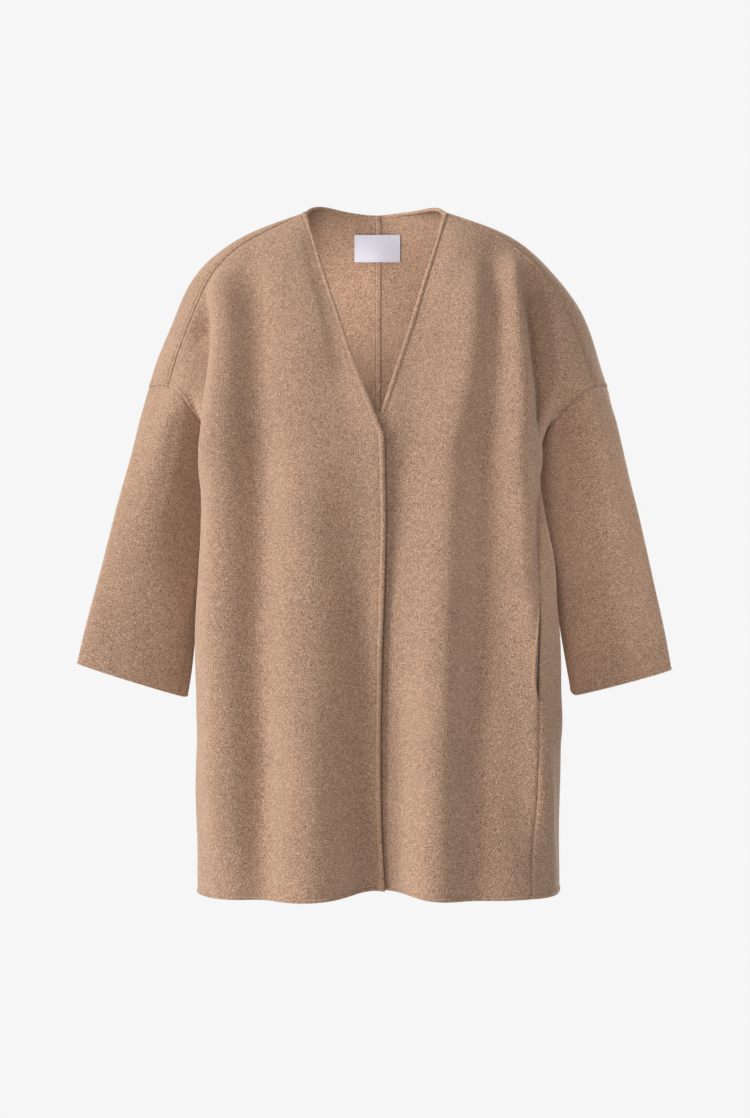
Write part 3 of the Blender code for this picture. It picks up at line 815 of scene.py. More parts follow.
@dataclass(frozen=True)
class BodyCut:
    """The cut of one body panel: its fall below the underarm and its rise to the shoulder."""

    sag: float
    tuck_from: float
    arm_turn: Point
    pulls: tuple[Pull, ...]
    sag_over: float = 0.2
    sag_until: float = 0.70
    tuck_rise: float = 0.55
    arm_turn_from: float = 0.75
    seam_even: float = 0.35

    @staticmethod
    def columns() -> Array:
        """Shares of a panel's width at its columns, closer together towards the armhole."""
        even = np.linspace(0.0, 1.0, FRONT_COLUMNS + 1)
        return even * (1.0 + COLUMN_CROWDING - COLUMN_CROWDING * even)

    def seam_share(self, across: Array) -> Array:
        """Share along the shoulder seam that lies above a share of the underarm level's width."""
        return self.seam_even * across + (1.0 - self.seam_even) * across**3

    def skirt(
        self, form: WornForm, side: Side, inner_end: Callable[[float, Ring], float], across: Array
    ) -> tuple[Array, Array]:
        """The part of the panel below the underarm.

        Args:
            form: The worn form.
            side: The panel's side.
            inner_end: Gives the place of the panel's edge at the centre, at a level.
            across: Shares of the panel's width.

        Returns:
            Points, and their places round the body.
        """
        points, places = [], []
        hang = self.sag * smooth_step(0.0, self.sag_over, across)
        hang = hang * (1.0 - smooth_step(self.sag_until, 1.0, across))
        rise = np.linspace(0.0, 1.0, SKIRT_ROWS + 1)
        for v in rise:
            nominal = -form.length + v * (form.underarm + form.length)
            ring = Ring(form, nominal)
            first = inner_end(nominal, ring)
            place = first + (form.side_seam(side, nominal) - first) * across
            foot = form.hem(place)
            points.append(form.section(foot + v * (form.underarm - hang - foot), ring.angle(place)))
            places.append(place)
        grid = np.array(points)
        weight = smooth_step(self.tuck_rise, 1.0, rise)[:, None] * smooth_step(self.tuck_from, 1.0, across)
        shift = np.array(UNDERARM_POINT[side]) - grid[-1, -1]
        return grid + weight[..., None] * shift, np.array(places)

    def pulls_at(self, across: Array) -> tuple[Array, Array]:
        """The pulls of the cloth above the underarm.

        Args:
            across: Shares of the panel's width.

        Returns:
            The leaving and the arriving pulls there.
        """
        knots = column(self.pulls, "across")
        leave = spline(knots, column(self.pulls, "leave"), across)[:, None]
        return leave, spline(knots, column(self.pulls, "arrive"), across)[:, None]

    def yoke(self, side: Side, low: Array, top: Array, leave: Array, arrive: Array, across: Array) -> Array:
        """The part above the underarm, which rises from the skirt and turns to its upper edge.

        Args:
            side: The panel's side.
            low: The skirt's points.
            top: Points of the upper edge.
            leave: Directions and pulls in which the cloth leaves the skirt.
            arrive: The same at the upper edge.
            across: Shares of the panel's width.

        Returns:
            Rows of points above the skirt's last row.
        """
        turn = smooth_step(self.arm_turn_from, 1.0, across)[:, None]
        way = unit(side.mirror(self.arm_turn))
        round_arm = way * np.linalg.norm(leave, axis=1, keepdims=True)
        rows = np.linspace(0.0, 1.0, YOKE_ROWS + 1)[1:]
        return hermite(low[-1], top, leave * (1.0 - turn) + round_arm * turn, arrive, rows)


@dataclass(frozen=True)
class FrontCut(BodyCut):
    """A front: from its free edge to the side seam, and up to the shoulder seam."""

    sag: float = 0.015
    tuck_from: float = 0.80
    arm_turn: Point = (0.60, -0.60, 0.40)
    pulls: tuple[Pull, ...] = FRONT_PULLS
    neck_lean: Point = (0.19, 0.62, 0.78)
    neck_width: float = 0.25
    edge_turn: Point = (0.75, 0.0, 0.66)
    edge_width: float = 0.20

    def cut(self, form: WornForm, side: Side) -> Cloth:
        """Cuts a front.

        Args:
            form: The worn form.
            side: The front's side.

        Returns:
            The front, before it is draped.
        """

        def edge(level: float, ring: Ring) -> float:
            """Place of the free edge at a level."""
            return spline(column(FRONT_EDGE, "level"), column(FRONT_EDGE, side.word), level)

        across = self.columns()
        low, places = self.skirt(form, side, edge, across)
        share = self.seam_share(across)
        neck = smooth_step(0.0, self.neck_width, across)[:, None]
        lean = unit(side.mirror(self.neck_lean))
        arrive = unit(form.crossing(side, share) * neck + lean * (1.0 - neck))
        near = 1.0 - smooth_step(0.0, self.edge_width, across)[:, None]
        up = unit(low[-1] - low[-1 - LEAVE_ROWS])
        leave = unit(up * (1.0 - near) + unit(side.mirror(self.edge_turn)) * near)
        leave_pull, arrive_pull = self.pulls_at(across)
        top = form.shoulder_seam(side, share)
        rise = self.yoke(side, low, top, leave * leave_pull, arrive * arrive_pull, across)
        places = np.concatenate([places, np.repeat(places[-1:], YOKE_ROWS, axis=0)])
        points = np.concatenate([low, rise])
        return Cloth(f"front_{side.word}", side, points, -side.value, places, np.ones(places.shape))


@dataclass(frozen=True)
class BackCut(BodyCut):
    """A half of the back: from the centre back seam to the side seam, and over the shoulder."""

    sag: float = 0.050
    tuck_from: float = 0.70
    arm_turn: Point = (0.30, 1.00, 0.06)
    pulls: tuple[Pull, ...] = BACK_PULLS
    neck_share: float = 0.30
    neck_centre: Point = (0.0, 0.066, 0.002)
    neck_leave: float = 1.10
    neck_arrive: Point = (0.25, -0.090, -0.068)
    neck_stand: Point = (0.0, -0.35, 0.94)
    neck_twist: float = 1.3

    def neck_line(self, neck_end: Array, shares: Array) -> Array:
        """The back of the neck, from the centre back to the shoulder seam.

        Args:
            neck_end: The neck end of the shoulder seam.
            shares: Places along the line, from 0 to 1.

        Returns:
            Points of the line.
        """
        leave = np.array([neck_end[0] * self.neck_leave, 0.0, 0.0])
        arrive = np.array(self.neck_arrive) * (neck_end[0], 1.0, 1.0)
        centre = np.array(self.neck_centre)
        return hermite(centre[None], neck_end[None], leave[None], arrive[None], shares)[:, 0]

    def cut(self, form: WornForm, side: Side) -> Cloth:
        """Cuts a half of the back.

        Args:
            form: The worn form.
            side: The half's side.

        Returns:
            The half, before it is draped.
        """
        seam_across = self.columns()
        neck_across = np.linspace(0.0, 1.0, NECK_COLUMNS + 1)[:-1]
        beyond = self.neck_share + (1 - self.neck_share) * seam_across
        across = np.concatenate([neck_across * self.neck_share, beyond])
        low, places = self.skirt(form, side, lambda level, ring: ring.half(side), across)
        share = self.seam_share(seam_across)
        seam = form.shoulder_seam(side, share)
        top = np.concatenate([self.neck_line(seam[0], neck_across), seam])
        leave_pull, arrive_pull = self.pulls_at(across)
        over = -form.crossing(side, share) * arrive_pull[NECK_COLUMNS:]
        stand = np.array(self.neck_stand) * arrive_pull[0]
        blend = neck_across[:, None] ** self.neck_twist
        arrive = np.concatenate([stand * (1.0 - blend) + over[:1] * blend, over])
        leave = unit(low[-1] - low[-1 - LEAVE_ROWS]) * leave_pull
        points = np.concatenate([low, self.yoke(side, low, top, leave, arrive, across)])
        places = np.concatenate([places, np.repeat(places[-1:], YOKE_ROWS, axis=0)])
        return Cloth(f"back_{side.word}", side, points, side.value, places, places - places[:, :1])


@dataclass(frozen=True)
class EdgeFinish:
    """How a sheet ends: it rounds off, may carry a raised band, and its stitches may draw it in."""

    nose: float
    thin: float
    band: float = 0.0
    rise_out: float = 0.0
    rise_in: float = 0.0
    groove: float = 0.0
    groove_width: float = 0.0009
    step_before: float = 0.0007
    step_after: float = 0.0009

    def wall(self, away: Array) -> Array:
        """Share of the wall that is left at distances from the edge."""
        t = 1.0 - np.clip(away / self.nose, 0.0, 1.0)
        return 1.0 - self.thin * (1.0 - np.sqrt(1.0 - t * t))

    def relief(self, away: Array, rise: float) -> Array:
        """What the band and its groove add to one face.

        Args:
            away: Distances from the edge.
            rise: How far the band stands out on this face.

        Returns:
            How far the face stands out there.
        """
        flat = 1.0 - smooth_step(self.band - self.step_before, self.band + self.step_after, away)
        flat = flat * smooth_step(-self.nose, self.nose, away)
        return rise * flat - self.groove * bell(away - self.band, self.groove_width)


TURNED = EdgeFinish(nose=0.0016, thin=0.88, band=0.0048, rise_out=0.0011, rise_in=0.0008, groove=0.0008)
ROLLED = EdgeFinish(
    nose=0.0030, thin=0.92, band=0.0060, rise_out=0.0015, rise_in=0.0008, groove=0.0013, groove_width=0.0011
)
CUFFED = EdgeFinish(nose=0.0016, thin=0.80, band=0.0048, rise_out=0.0004, rise_in=0.0004, groove=0.0006)
UNDER = EdgeFinish(nose=0.0012, thin=0.70)
SEWN = EdgeFinish(nose=0.0022, thin=0.94)
LAPPED = EdgeFinish(
    nose=0.0014, thin=0.70, band=0.0064, rise_out=0.0016, groove=0.0012, groove_width=0.0013
)
PROUD = EdgeFinish(nose=0.0010, thin=0.94, band=0.0066, rise_out=0.0009, groove=0.0003)
STAYED = EdgeFinish(nose=0.0012, thin=0.70, band=0.0072, rise_in=0.0024, groove=0.0012)


@dataclass(eq=False)
class Sheet:
    """A finished sheet: a grid in the middle of its wall, and how its faces stand off it."""

    name: str
    middle: Array
    outward: float
    wall: float = CLOTH

    def __post_init__(self) -> None:
        """Measures the sheet and gives it even faces."""
        self.normals = normals_of(self.middle, self.outward)
        self.from_foot = lengths_along(self.middle)
        self.to_top = self.from_foot[-1] - self.from_foot
        self.from_first = lengths_along(self.middle.transpose(1, 0, 2)).T
        self.to_last = self.from_first[:, -1:] - self.from_first
        self.to_edge = np.min([self.from_foot, self.to_top, self.from_first, self.to_last], axis=0)
        self.half = np.full(self.middle.shape[:2], self.wall / 2)
        self.more_out = np.zeros(self.half.shape)
        self.more_in = np.zeros(self.half.shape)

    def finish(self, away: Array, edge: EdgeFinish, share: Array | float = 1.0) -> None:
        """Finishes one edge.

        Args:
            away: Distances from that edge.
            edge: How it ends.
            share: Where along the edge this holds, from 0 to 1.
        """
        self.half = self.half * (1.0 - share * (1.0 - edge.wall(away)))
        self.more_out = self.more_out + share * edge.relief(away, edge.rise_out)
        self.more_in = self.more_in + share * edge.relief(away, edge.rise_in)

    def draw_in(self, away: Array, share: Array | float = 1.0) -> None:
        """Draws the sheet in along a seam, at distances from it."""
        self.push(-SEAM_DRAW * share * bell(away, SEAM_DRAW_WIDTH))

    def push(self, rise: Array) -> None:
        """Moves the sheet outwards and finds its new normals."""
        self.middle = self.middle + self.normals * rise[..., None]
        self.normals = normals_of(self.middle, self.outward)

    def crease(self) -> None:
        """Presses this piece's small creases in, faded at their ends and beside the edges."""
        total = np.zeros(self.half.shape)
        for crease in (crease for crease in CREASES if crease.piece == self.name):
            run = np.subtract(crease.end, crease.start)
            length = np.linalg.norm(run)
            flat = self.middle[..., [0, 2]] - np.array(crease.start)
            arch = np.clip(np.sin(np.pi * np.clip(flat @ run / (run @ run), 0.0, 1.0)), 0.0, 1.0)
            off = (flat[..., 0] * run[1] - flat[..., 1] * run[0]) / length - CREASE_BOW * length * arch
            facing = self.normals[..., 1] * (1.0 if crease.behind else -1.0)
            seen = arch**CREASE_END * smooth_step(*CREASE_SIGHT, facing)
            total += crease.rise * bell(off, crease.half_width) * seen
        self.push(total * smooth_step(*CREASE_FADE, self.to_edge))

    def faces(self) -> tuple[Array, Array]:
        """Points of the outer and the inner face."""
        outer = self.middle + self.normals * (self.half + self.more_out)[..., None]
        return outer, self.middle - self.normals * (self.half + self.more_in)[..., None]

    def build(self, material: Material) -> Object:
        """Makes the closed mesh.

        Args:
            material: What it is made of.

        Returns:
            The piece, in the scene.
        """
        outer, inner = self.faces()
        if self.outward > 0:
            outer, inner = outer[:, ::-1], inner[:, ::-1]
        rows, columns = outer.shape[:2]
        near = np.arange(rows * columns).reshape(rows, columns)
        far = near + near.size
        rim = np.concatenate([near[::-1, 0], near[0, 1:], near[1:, -1], near[-1, -2:0:-1]])
        after = np.roll(rim, -1)
        quads = [
            np.stack([near[:-1, :-1], near[:-1, 1:], near[1:, 1:], near[1:, :-1]], axis=-1),
            np.stack([far[:-1, :-1], far[1:, :-1], far[1:, 1:], far[:-1, 1:]], axis=-1),
            np.stack([after, rim, rim + near.size, after + near.size], axis=-1),
        ]
        faces = np.concatenate([quad.reshape(-1, 4) for quad in quads])
        points = np.concatenate([outer.reshape(-1, 3), inner.reshape(-1, 3)])
        mesh = bpy.data.meshes.new(self.name)
        mesh.from_pydata(points.tolist(), [], faces.tolist())
        mesh.validate()
        mesh.shade_smooth()
        mesh.materials.append(material)
        return add_object(f"{self.name}_sheet", mesh)


@dataclass(frozen=True)
class CutSize:
    """A sheet's size before it was sewn: width and length of its cut, and its flat area."""

    width: float
    length: float
    area: float


def declare(piece: Object) -> None:
    """Ties a sheet to the frame.

    Args:
        piece: The sheet, named for the node that it stands for and "_sheet".
    """
    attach(piece, "root")
    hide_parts(piece.name.removesuffix("_sheet"))
    LOG.info("%s: %d faces", piece.name, len(piece.data.polygons))


@dataclass
class Body:
    """The two fronts and the two halves of the back."""

    form: WornForm
    wool: Material
    front_cut: FrontCut = field(default_factory=FrontCut)
    back_cut: BackCut = field(default_factory=BackCut)
    under_sink: float = 0.0058
    under_from: float = 0.018
    under_fade: float = 0.050
    under_top: float = -0.205
    under_top_fade: float = 0.060
    mouth_top: float = -0.506
    mouth_foot: float = -0.644
    mouth_bow: float = 0.45
    mouth_full: float = 0.3
    mouth_reach: float = 0.030
    mouth_gape: float = 0.0110
    mouth_lift: float = 0.0004
    mouth_drop: float = 0.0030
    arm_levels: Span = (-0.306, -0.286)
    neck_levels: Span = (-0.34, -0.25)
    neck_ends: Span = (0.090, 0.094)
    edge_width: float = 0.018
    edge_lift: float = 0.0024
    neck_lift: float = 0.0050
    shoulder_draw: float = 0.2
    band_draw: float = 1.6
    pitch: float = 0.0042
    cloths: dict[str, Cloth] = field(default_factory=dict)
    sheets: dict[str, Sheet] = field(default_factory=dict)

    def pair(self, side: Side) -> tuple[Cloth, Cloth]:
        """The front and the half of the back on one side."""
        return self.cloths[f"front_{side.word}"], self.cloths[f"back_{side.word}"]

    def seams(self) -> list[Edges]:
        """The seams between the four panels.

        Returns:
            Each seam as the edges that meet in it.
        """
        low = np.s_[: SKIRT_ROWS + 1, -1]
        seams = [[(self.cloths[name], np.s_[:, 0]) for name in ("back_left", "back_right")]]
        for side in Side:
            front, back = self.pair(side)
            seams.append([(front, low), (back, low)])
            seams.append([(front, np.s_[-1, :]), (back, np.s_[-1, NECK_COLUMNS:])])
        return seams

    def lay(self) -> None:
        """Cuts and drapes the four panels, and sews their middles together."""
        for side in Side:
            for cloth in (self.front_cut.cut(self.form, side), self.back_cut.cut(self.form, side)):
                self.cloths[cloth.name] = cloth
        for seam in self.seams():
            share_normals(seam)
        for cloth in self.cloths.values():
            cloth.drape(self.form)
        for seam in self.seams():
            share_normals(seam)
        self.sink_under_front(self.cloths["front_left"])
        for cloth in self.cloths.values():
            cloth.lay_middle()
        for seam in self.seams():
            sew(seam)

    def sink_under_front(self, cloth: Cloth) -> None:
        """Lowers the under front where the other front lies over it.

        Args:
            cloth: The under front.
        """
        near = 1.0 - smooth_step(self.under_from, self.under_from + self.under_fade, cloth.places)
        high = smooth_step(self.under_top - self.under_top_fade, self.under_top, cloth.points[..., 2])
        cloth.points = cloth.points - cloth.normals * (self.under_sink * near * (1.0 - high))[..., None]

    def close_grid(self, cloth: Cloth) -> Array:
        """The panel's middle, read again with close lines along its edges and the underarm kept.

        Args:
            cloth: The panel, with its middle laid.

        Returns:
            The new grid of points.
        """
        front = cloth.name.startswith("front")
        first, top = (FREE_MARKS, SEAM_MARKS) if front else (SEAM_MARKS, BACK_TOP_MARKS)
        wide = respace(cloth.middle, first, SEAM_MARKS, self.pitch).transpose(1, 0, 2)
        low = respace(wide[:, : SKIRT_ROWS + 1], FREE_MARKS, NO_MARKS, self.pitch)
        high = respace(wide[:, SKIRT_ROWS:], NO_MARKS, top, self.pitch)
        return np.concatenate([low[:, :-1], high], axis=1).transpose(1, 0, 2)

    def mouth(self, level: Array) -> Array:
        """How far a pocket's mouth is open, from 0 to 1, at heights along the side seam."""
        share = np.clip((level - self.mouth_foot) / (self.mouth_top - self.mouth_foot), 0.0, 1.0)
        return np.sin(np.pi * share) ** self.mouth_bow

    def open_mouth(self, sheet: Sheet, gape: float, lift: float) -> None:
        """Draws a panel's side edge back and out at the pocket.

        Args:
            sheet: The panel.
            gape: How far the edge is drawn back.
            lift: How far it stands out.
        """
        mouth = self.mouth(sheet.middle[:, -1:, 2])
        back = unit(sheet.middle[:, :-1] - sheet.middle[:, 1:])
        back = np.concatenate([back, back[:, -1:]], axis=1)
        near = mouth * np.clip(1.0 - sheet.to_last / self.mouth_reach, 0.0, 1.0) ** 2
        sheet.middle = sheet.middle + back * (gape * near)[..., None]
        sheet.push(lift * near)

    def finish(self) -> None:
        """Lays the panels' sheets and finishes their edges."""
        for name, cloth in self.cloths.items():
            sheet = self.sheets[name] = Sheet(name, self.close_grid(cloth), cloth.outward)
            sheet.crease()
            sheet.finish(sheet.from_foot, TURNED)
            level = sheet.middle[:, -1:, 2]
            mouth = smooth_step(0.0, self.mouth_full, self.mouth(level))
            arm = smooth_step(*self.arm_levels, level)
            sheet.finish(sheet.to_last, SEWN, (1.0 - mouth) * (1.0 - arm))
            sheet.finish(sheet.to_last, TURNED, mouth)
            sheet.finish(sheet.to_last, PROUD, arm)
            sheet.draw_in(sheet.to_last, 1.0 - mouth)
            if name.startswith("front"):
                self.finish_front(sheet, cloth.side)
            else:
                self.finish_back(sheet, cloth.side)

    def finish_front(self, sheet: Sheet, side: Side) -> None:
        """Rolls a front's free edge, which lifts a little, tucks its shoulder under and opens its pocket.

        Args:
            sheet: The front.
            side: Its side.
        """
        sheet.finish(sheet.from_first, ROLLED)
        sheet.finish(sheet.to_top, UNDER)
        sheet.draw_in(sheet.to_top, self.shoulder_draw)
        self.open_mouth(sheet, self.mouth_gape, self.mouth_lift)
        high = smooth_step(*self.neck_levels, sheet.middle[..., 2])
        lift = self.neck_lift * high
        if side is Side.RIGHT:
            lift = lift + self.edge_lift * (1.0 - high)
        sheet.push(lift * bell(sheet.from_first, self.edge_width))

    def finish_back(self, sheet: Sheet, side: Side) -> None:
        """Stays a back's centre seam, turns its neck, laps its shoulder and drops its pocket edge.

        Args:
            sheet: The half of the back.
            side: Its side.
        """
        sheet.finish(sheet.from_first, STAYED if side is Side.LEFT else SEWN)
        past_neck = smooth_step(*self.neck_ends, np.abs(sheet.middle[-1:, :, 0]))
        sheet.finish(sheet.to_top, TURNED, 1.0 - past_neck)
        sheet.finish(sheet.to_top, LAPPED, past_neck)
        sheet.draw_in(sheet.to_top - LAPPED.band, self.band_draw * past_neck)
        self.open_mouth(sheet, 0.0, -self.mouth_drop)

    def dress(self, extras: tuple) -> None:
        """Makes the pieces and ties them to the frame.

        Args:
            extras: Pieces that lie on the cloth; not used.
        """
        for name, sheet in self.sheets.items():
            declare(sheet.build(self.wool))


@dataclass
class Sleeve:
    """One sleeve, rolled from the armhole to the cuff with its seam under the arm."""

    side: Side
    wool: Material
    flare: float
    swell: float
    corner: float
    corner_from: float = 0.85
    flat: float = 0.008
    flat_begin: Span = (0.0, 0.05)
    flat_end: Span = (0.12, 0.26)
    wave_share: float = 0.45
    wave_fade: float = 0.03
    pitch: float = 0.0042
    sheet: Sheet = field(init=False)

    def cuff(self, shares: Array) -> Array:
        """The cuff, from the seam through the front, the outside and the back.

        Args:
            shares: Places round the cuff, from 0 to 1.

        Returns:
            Points in the middle of its wall.
        """
        cuff = CUFFS[self.side]
        outer, inner = self.side.mirror(cuff.outer), self.side.mirror(cuff.inner)
        half = (inner - outer) / 2
        depth = unit(np.cross(half, (half[2], 0.0, -half[0]))) * cuff.half_depth
        depth = depth * np.sign(-depth[1])
        wide, deep = (1.0 - CLOTH / 2 / size for size in (np.linalg.norm(half), cuff.half_depth))
        turn = 2 * np.pi * shares[:, None] + cuff.seam_turn
        bend = np.clip((np.cos(turn) - self.corner_from) / (1.0 - self.corner_from), 0.0, 1.0)
        rounded = self.corner * np.array([0.0, 0.0, 1.0]) * (1.0 - np.sqrt(1.0 - bend**2))
        across = np.cos(turn) * half * wide + np.sin(turn) * depth * deep
        return (outer + inner) / 2 + across + rounded

    def lay(self, body: Body) -> None:
        """Rolls the sleeve from the body's armhole.

        Args:
            body: The body, with its middles sewn.
        """
        arm = np.s_[SKIRT_ROWS:, -1]
        front, back = (cloth.middle[arm] for cloth in body.pair(self.side))
        ring = np.concatenate([front, back[-2::-1]])
        along = lengths_along(ring)
        cuff = self.cuff(along / along[-1])
        middle = ring[:-1].mean(axis=0)
        down = unit(cuff[:-1].mean(axis=0) - middle)
        outward = np.array([self.side.value, 0.0, 0.0])
        facing = unit(ring - middle) @ outward
        flare = np.where(facing > 0, self.swell, -self.flare) * facing
        leave = unit(down + flare[:, None] * outward)
        length = np.linalg.norm(cuff - ring, axis=1)[:, None]
        points = hermite(ring, cuff, leave * length, down * length, np.linspace(0.0, 1.0, SLEEVE_ROWS + 1))
        points = respace(points, SEAM_MARKS, SEAM_MARKS, self.pitch).transpose(1, 0, 2)
        points = respace(points, SEAM_MARKS, FREE_MARKS, self.pitch).transpose(1, 0, 2)
        self.sheet = Sheet(f"sleeve_{self.side.word}", points, self.side.value)

    def finish(self) -> None:
        """Drapes the sleeve, flattens the corners of its outside and finishes its edges."""
        sheet = self.sheet
        away = np.minimum(sheet.from_foot, np.minimum(sheet.from_first, sheet.to_last))
        waves = Waviness().rise(sheet.middle)
        sheet.push(self.wave_share * waves * smooth_step(0.0, self.wave_fade, away))
        aside, ahead = sheet.normals[..., 0] * self.side.value, sheet.normals[..., 1]
        upper = smooth_step(*self.flat_begin, sheet.from_foot)
        upper = upper * (1.0 - smooth_step(*self.flat_end, sheet.from_foot))
        sheet.push(self.flat * upper * (2.0 * np.clip(aside, 0.0, 1.0) * ahead) ** 2)
        sheet.crease()
        sheet.finish(sheet.from_foot, SEWN)
        sheet.draw_in(sheet.from_foot)
        sheet.finish(sheet.from_first, SEWN)
        sheet.finish(sheet.to_last, SEWN)
        sheet.finish(sheet.to_top, CUFFED)

    def dress(self) -> None:
        """Makes the piece and ties it to the frame."""
        declare(self.sheet.build(self.wool))


@dataclass
class PocketBag:
    """The two layers of a pocket bag, laid flat behind the front from the mouth in the side seam."""

    side: Side
    wool: Material
    rise: float = 0.041
    drop: float = 0.085
    depth: float = 0.165
    past: float = 0.014
    sink: float = 0.009
    sink_width: float = 0.016
    wall: float = 0.0012
    pitch: float = 0.005
    cut_share: float = 0.98
    clear_columns: int = 3

    def dress(self, body: Body) -> None:
        """Makes both layers from the panels' own points moved in, and ties them to the frame.

        Args:
            body: The body that the bag hangs in.
        """
        front, back = body.pair(self.side)
        level = front.middle[: SKIRT_ROWS + 1, -1, 2]
        inside = (level > body.mouth_foot - self.drop) & (level < body.mouth_top + self.rise)
        rows = np.nonzero(inside)[0]
        rows = slice(rows[0], rows[-1] + 1)
        width = lengths_along(front.middle[rows.start, ::-1])
        past = lengths_along(back.middle[rows.start, ::-1])
        count, beyond = int(np.searchsorted(width, self.depth)), int(np.searchsorted(past, self.past))
        shift = CLOTH / 2 + LAY_GAP + self.wall / 2
        near = np.s_[rows, -1 - count : -self.clear_columns]
        self.layer("front", front.middle[near] - front.normals[near] * shift, front.outward)
        shift += self.wall + LAY_GAP
        near, far = np.s_[rows, -1 - count :], np.s_[rows, -2 : -2 - beyond : -1]
        points = np.concatenate([front.middle[near], back.middle[far]], axis=1)
        normals = np.concatenate([front.normals[near], back.normals[far]], axis=1)
        away = np.concatenate([width[count::-1], past[1 : 1 + beyond]])
        mouth = body.mouth(points[:, count : count + 1, 2])
        sunk = self.sink * mouth * bell(away, self.sink_width)
        self.layer("back", points - normals * (shift + sunk)[..., None], front.outward)

    def layer(self, name: str, points: Array, outward: float) -> None:
        """Makes one layer of the bag and ties it to the frame.

        Args:
            name: Which layer it is.
            points: A grid in the middle of its wall.
            outward: Which side of the grid is the outside.
        """
        for _ in range(2):
            points = respace(points, NO_MARKS, NO_MARKS, self.pitch).transpose(1, 0, 2)
        sheet = Sheet(f"pocket_{name}_{self.side.word}", points, outward, self.wall)
        declare(sheet.build(self.wool))


@dataclass
class StitchRow:
    """Rows of hand or machine stitches along paths, each stitch a short dash of thread."""

    name: str
    thread: Material
    pitch: float
    length: float
    radius: float
    waver: float = 0.10
    seed: int = 5

    def tree(self) -> NodeTree:
        """Builds the tree that lays one dash of thread at every step along the paths.

        Returns:
            The tree, with named inputs for its sizes.
        """
        tree = bpy.data.node_groups.new(self.name, "GeometryNodeTree")
        sizes = [(name, "Float") for name in ("Pitch", "Length", "Radius", "Waver")]
        for name, kind in [("Paths", "Geometry"), *sizes, ("Seed", "Int"), ("Thread", "Material")]:
            tree.interface.new_socket(name, in_out="INPUT", socket_type=f"NodeSocket{kind}")
        tree.interface.new_socket("Stitches", in_out="OUTPUT", socket_type="NodeSocketGeometry")
        add = partial(add_node, tree)
        given = add("NodeGroupInput").outputs
        path = add("GeometryNodeMeshToCurve", links={"Mesh": given["Paths"]})
        step = {"Curve": path, "Length": given["Pitch"]}
        steps = add("GeometryNodeResampleCurve", {"mode": "LENGTH"}, links=step)
        dash = add("GeometryNodeMeshUVSphere", values={"Segments": 6, "Rings": 5, "Radius": 1.0})
        sides = {"X": given["Length"], "Y": given["Radius"], "Z": given["Radius"]}
        size = add("ShaderNodeCombineXYZ", links=sides)
        run = add("GeometryNodeInputTangent")
        along = add("FunctionNodeAlignRotationToVector", {"axis": "X"}, links={"Vector": run})
        low = add("ShaderNodeMath", {"operation": "MULTIPLY"}, {1: -1.0}, {0: given["Waver"]})
        range_of = {2: low, 3: given["Waver"], "Seed": given["Seed"]}
        chance = add("FunctionNodeRandomValue", {"data_type": "FLOAT"}, links=range_of)
        turn = add(
            "FunctionNodeAxisAngleToRotation",
            values={"Axis": (0.0, 1.0, 0.0)},
            links={"Angle": chance.outputs[1]},
        )
        wavered = add("FunctionNodeRotateRotation", links={"Rotation": along, "Rotate By": turn})
        laid = add(
            "GeometryNodeInstanceOnPoints",
            links={"Points": steps, "Instance": dash, "Rotation": wavered, "Scale": size},
        )
        real = add("GeometryNodeRealizeInstances", links={"Geometry": laid})
        smooth = add("GeometryNodeSetShadeSmooth", links={"Geometry": real})
        sewn = add("GeometryNodeSetMaterial", links={"Geometry": smooth, "Material": given["Thread"]})
        add("NodeGroupOutput", links={"Stitches": sewn})
        return tree

    def build(self, paths: list[Array]) -> Object:
        """Lays the stitches.

        Args:
            paths: Lines of points on the cloth.

        Returns:
            The stitches as one plain mesh.
        """
        points = np.concatenate(paths)
        ends = np.cumsum([len(path) for path in paths])
        edges = [(i, i + 1) for i in range(len(points) - 1) if i + 1 not in ends]
        mesh = bpy.data.meshes.new(f"{self.name}_paths")
        mesh.from_pydata(points.tolist(), edges, [])
        holder = add_object(f"{self.name}_paths", mesh)
        modifier = holder.modifiers.new("stitches", "NODES")
        modifier.node_group = self.tree()
        given = {
            "Pitch": self.pitch,
            "Length": self.length / 2,
            "Radius": self.radius,
            "Waver": self.waver,
            "Seed": self.seed,
            "Thread": self.thread,
        }
        for item in modifier.node_group.interface.items_tree:
            if item.in_out == "INPUT" and item.name in given:
                modifier[item.identifier] = given[item.name]
        bpy.context.view_layer.update()
        real = holder.evaluated_get(bpy.context.evaluated_depsgraph_get())
        laid = bpy.data.meshes.new_from_object(real)
        holder.modifiers.remove(modifier)
        bpy.data.objects.remove(holder)
        laid.name = self.name
        piece = add_object(self.name, laid)
        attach(piece, "root")
        LOG.info("%s: %d faces", piece.name, len(laid.polygons))
        return piece


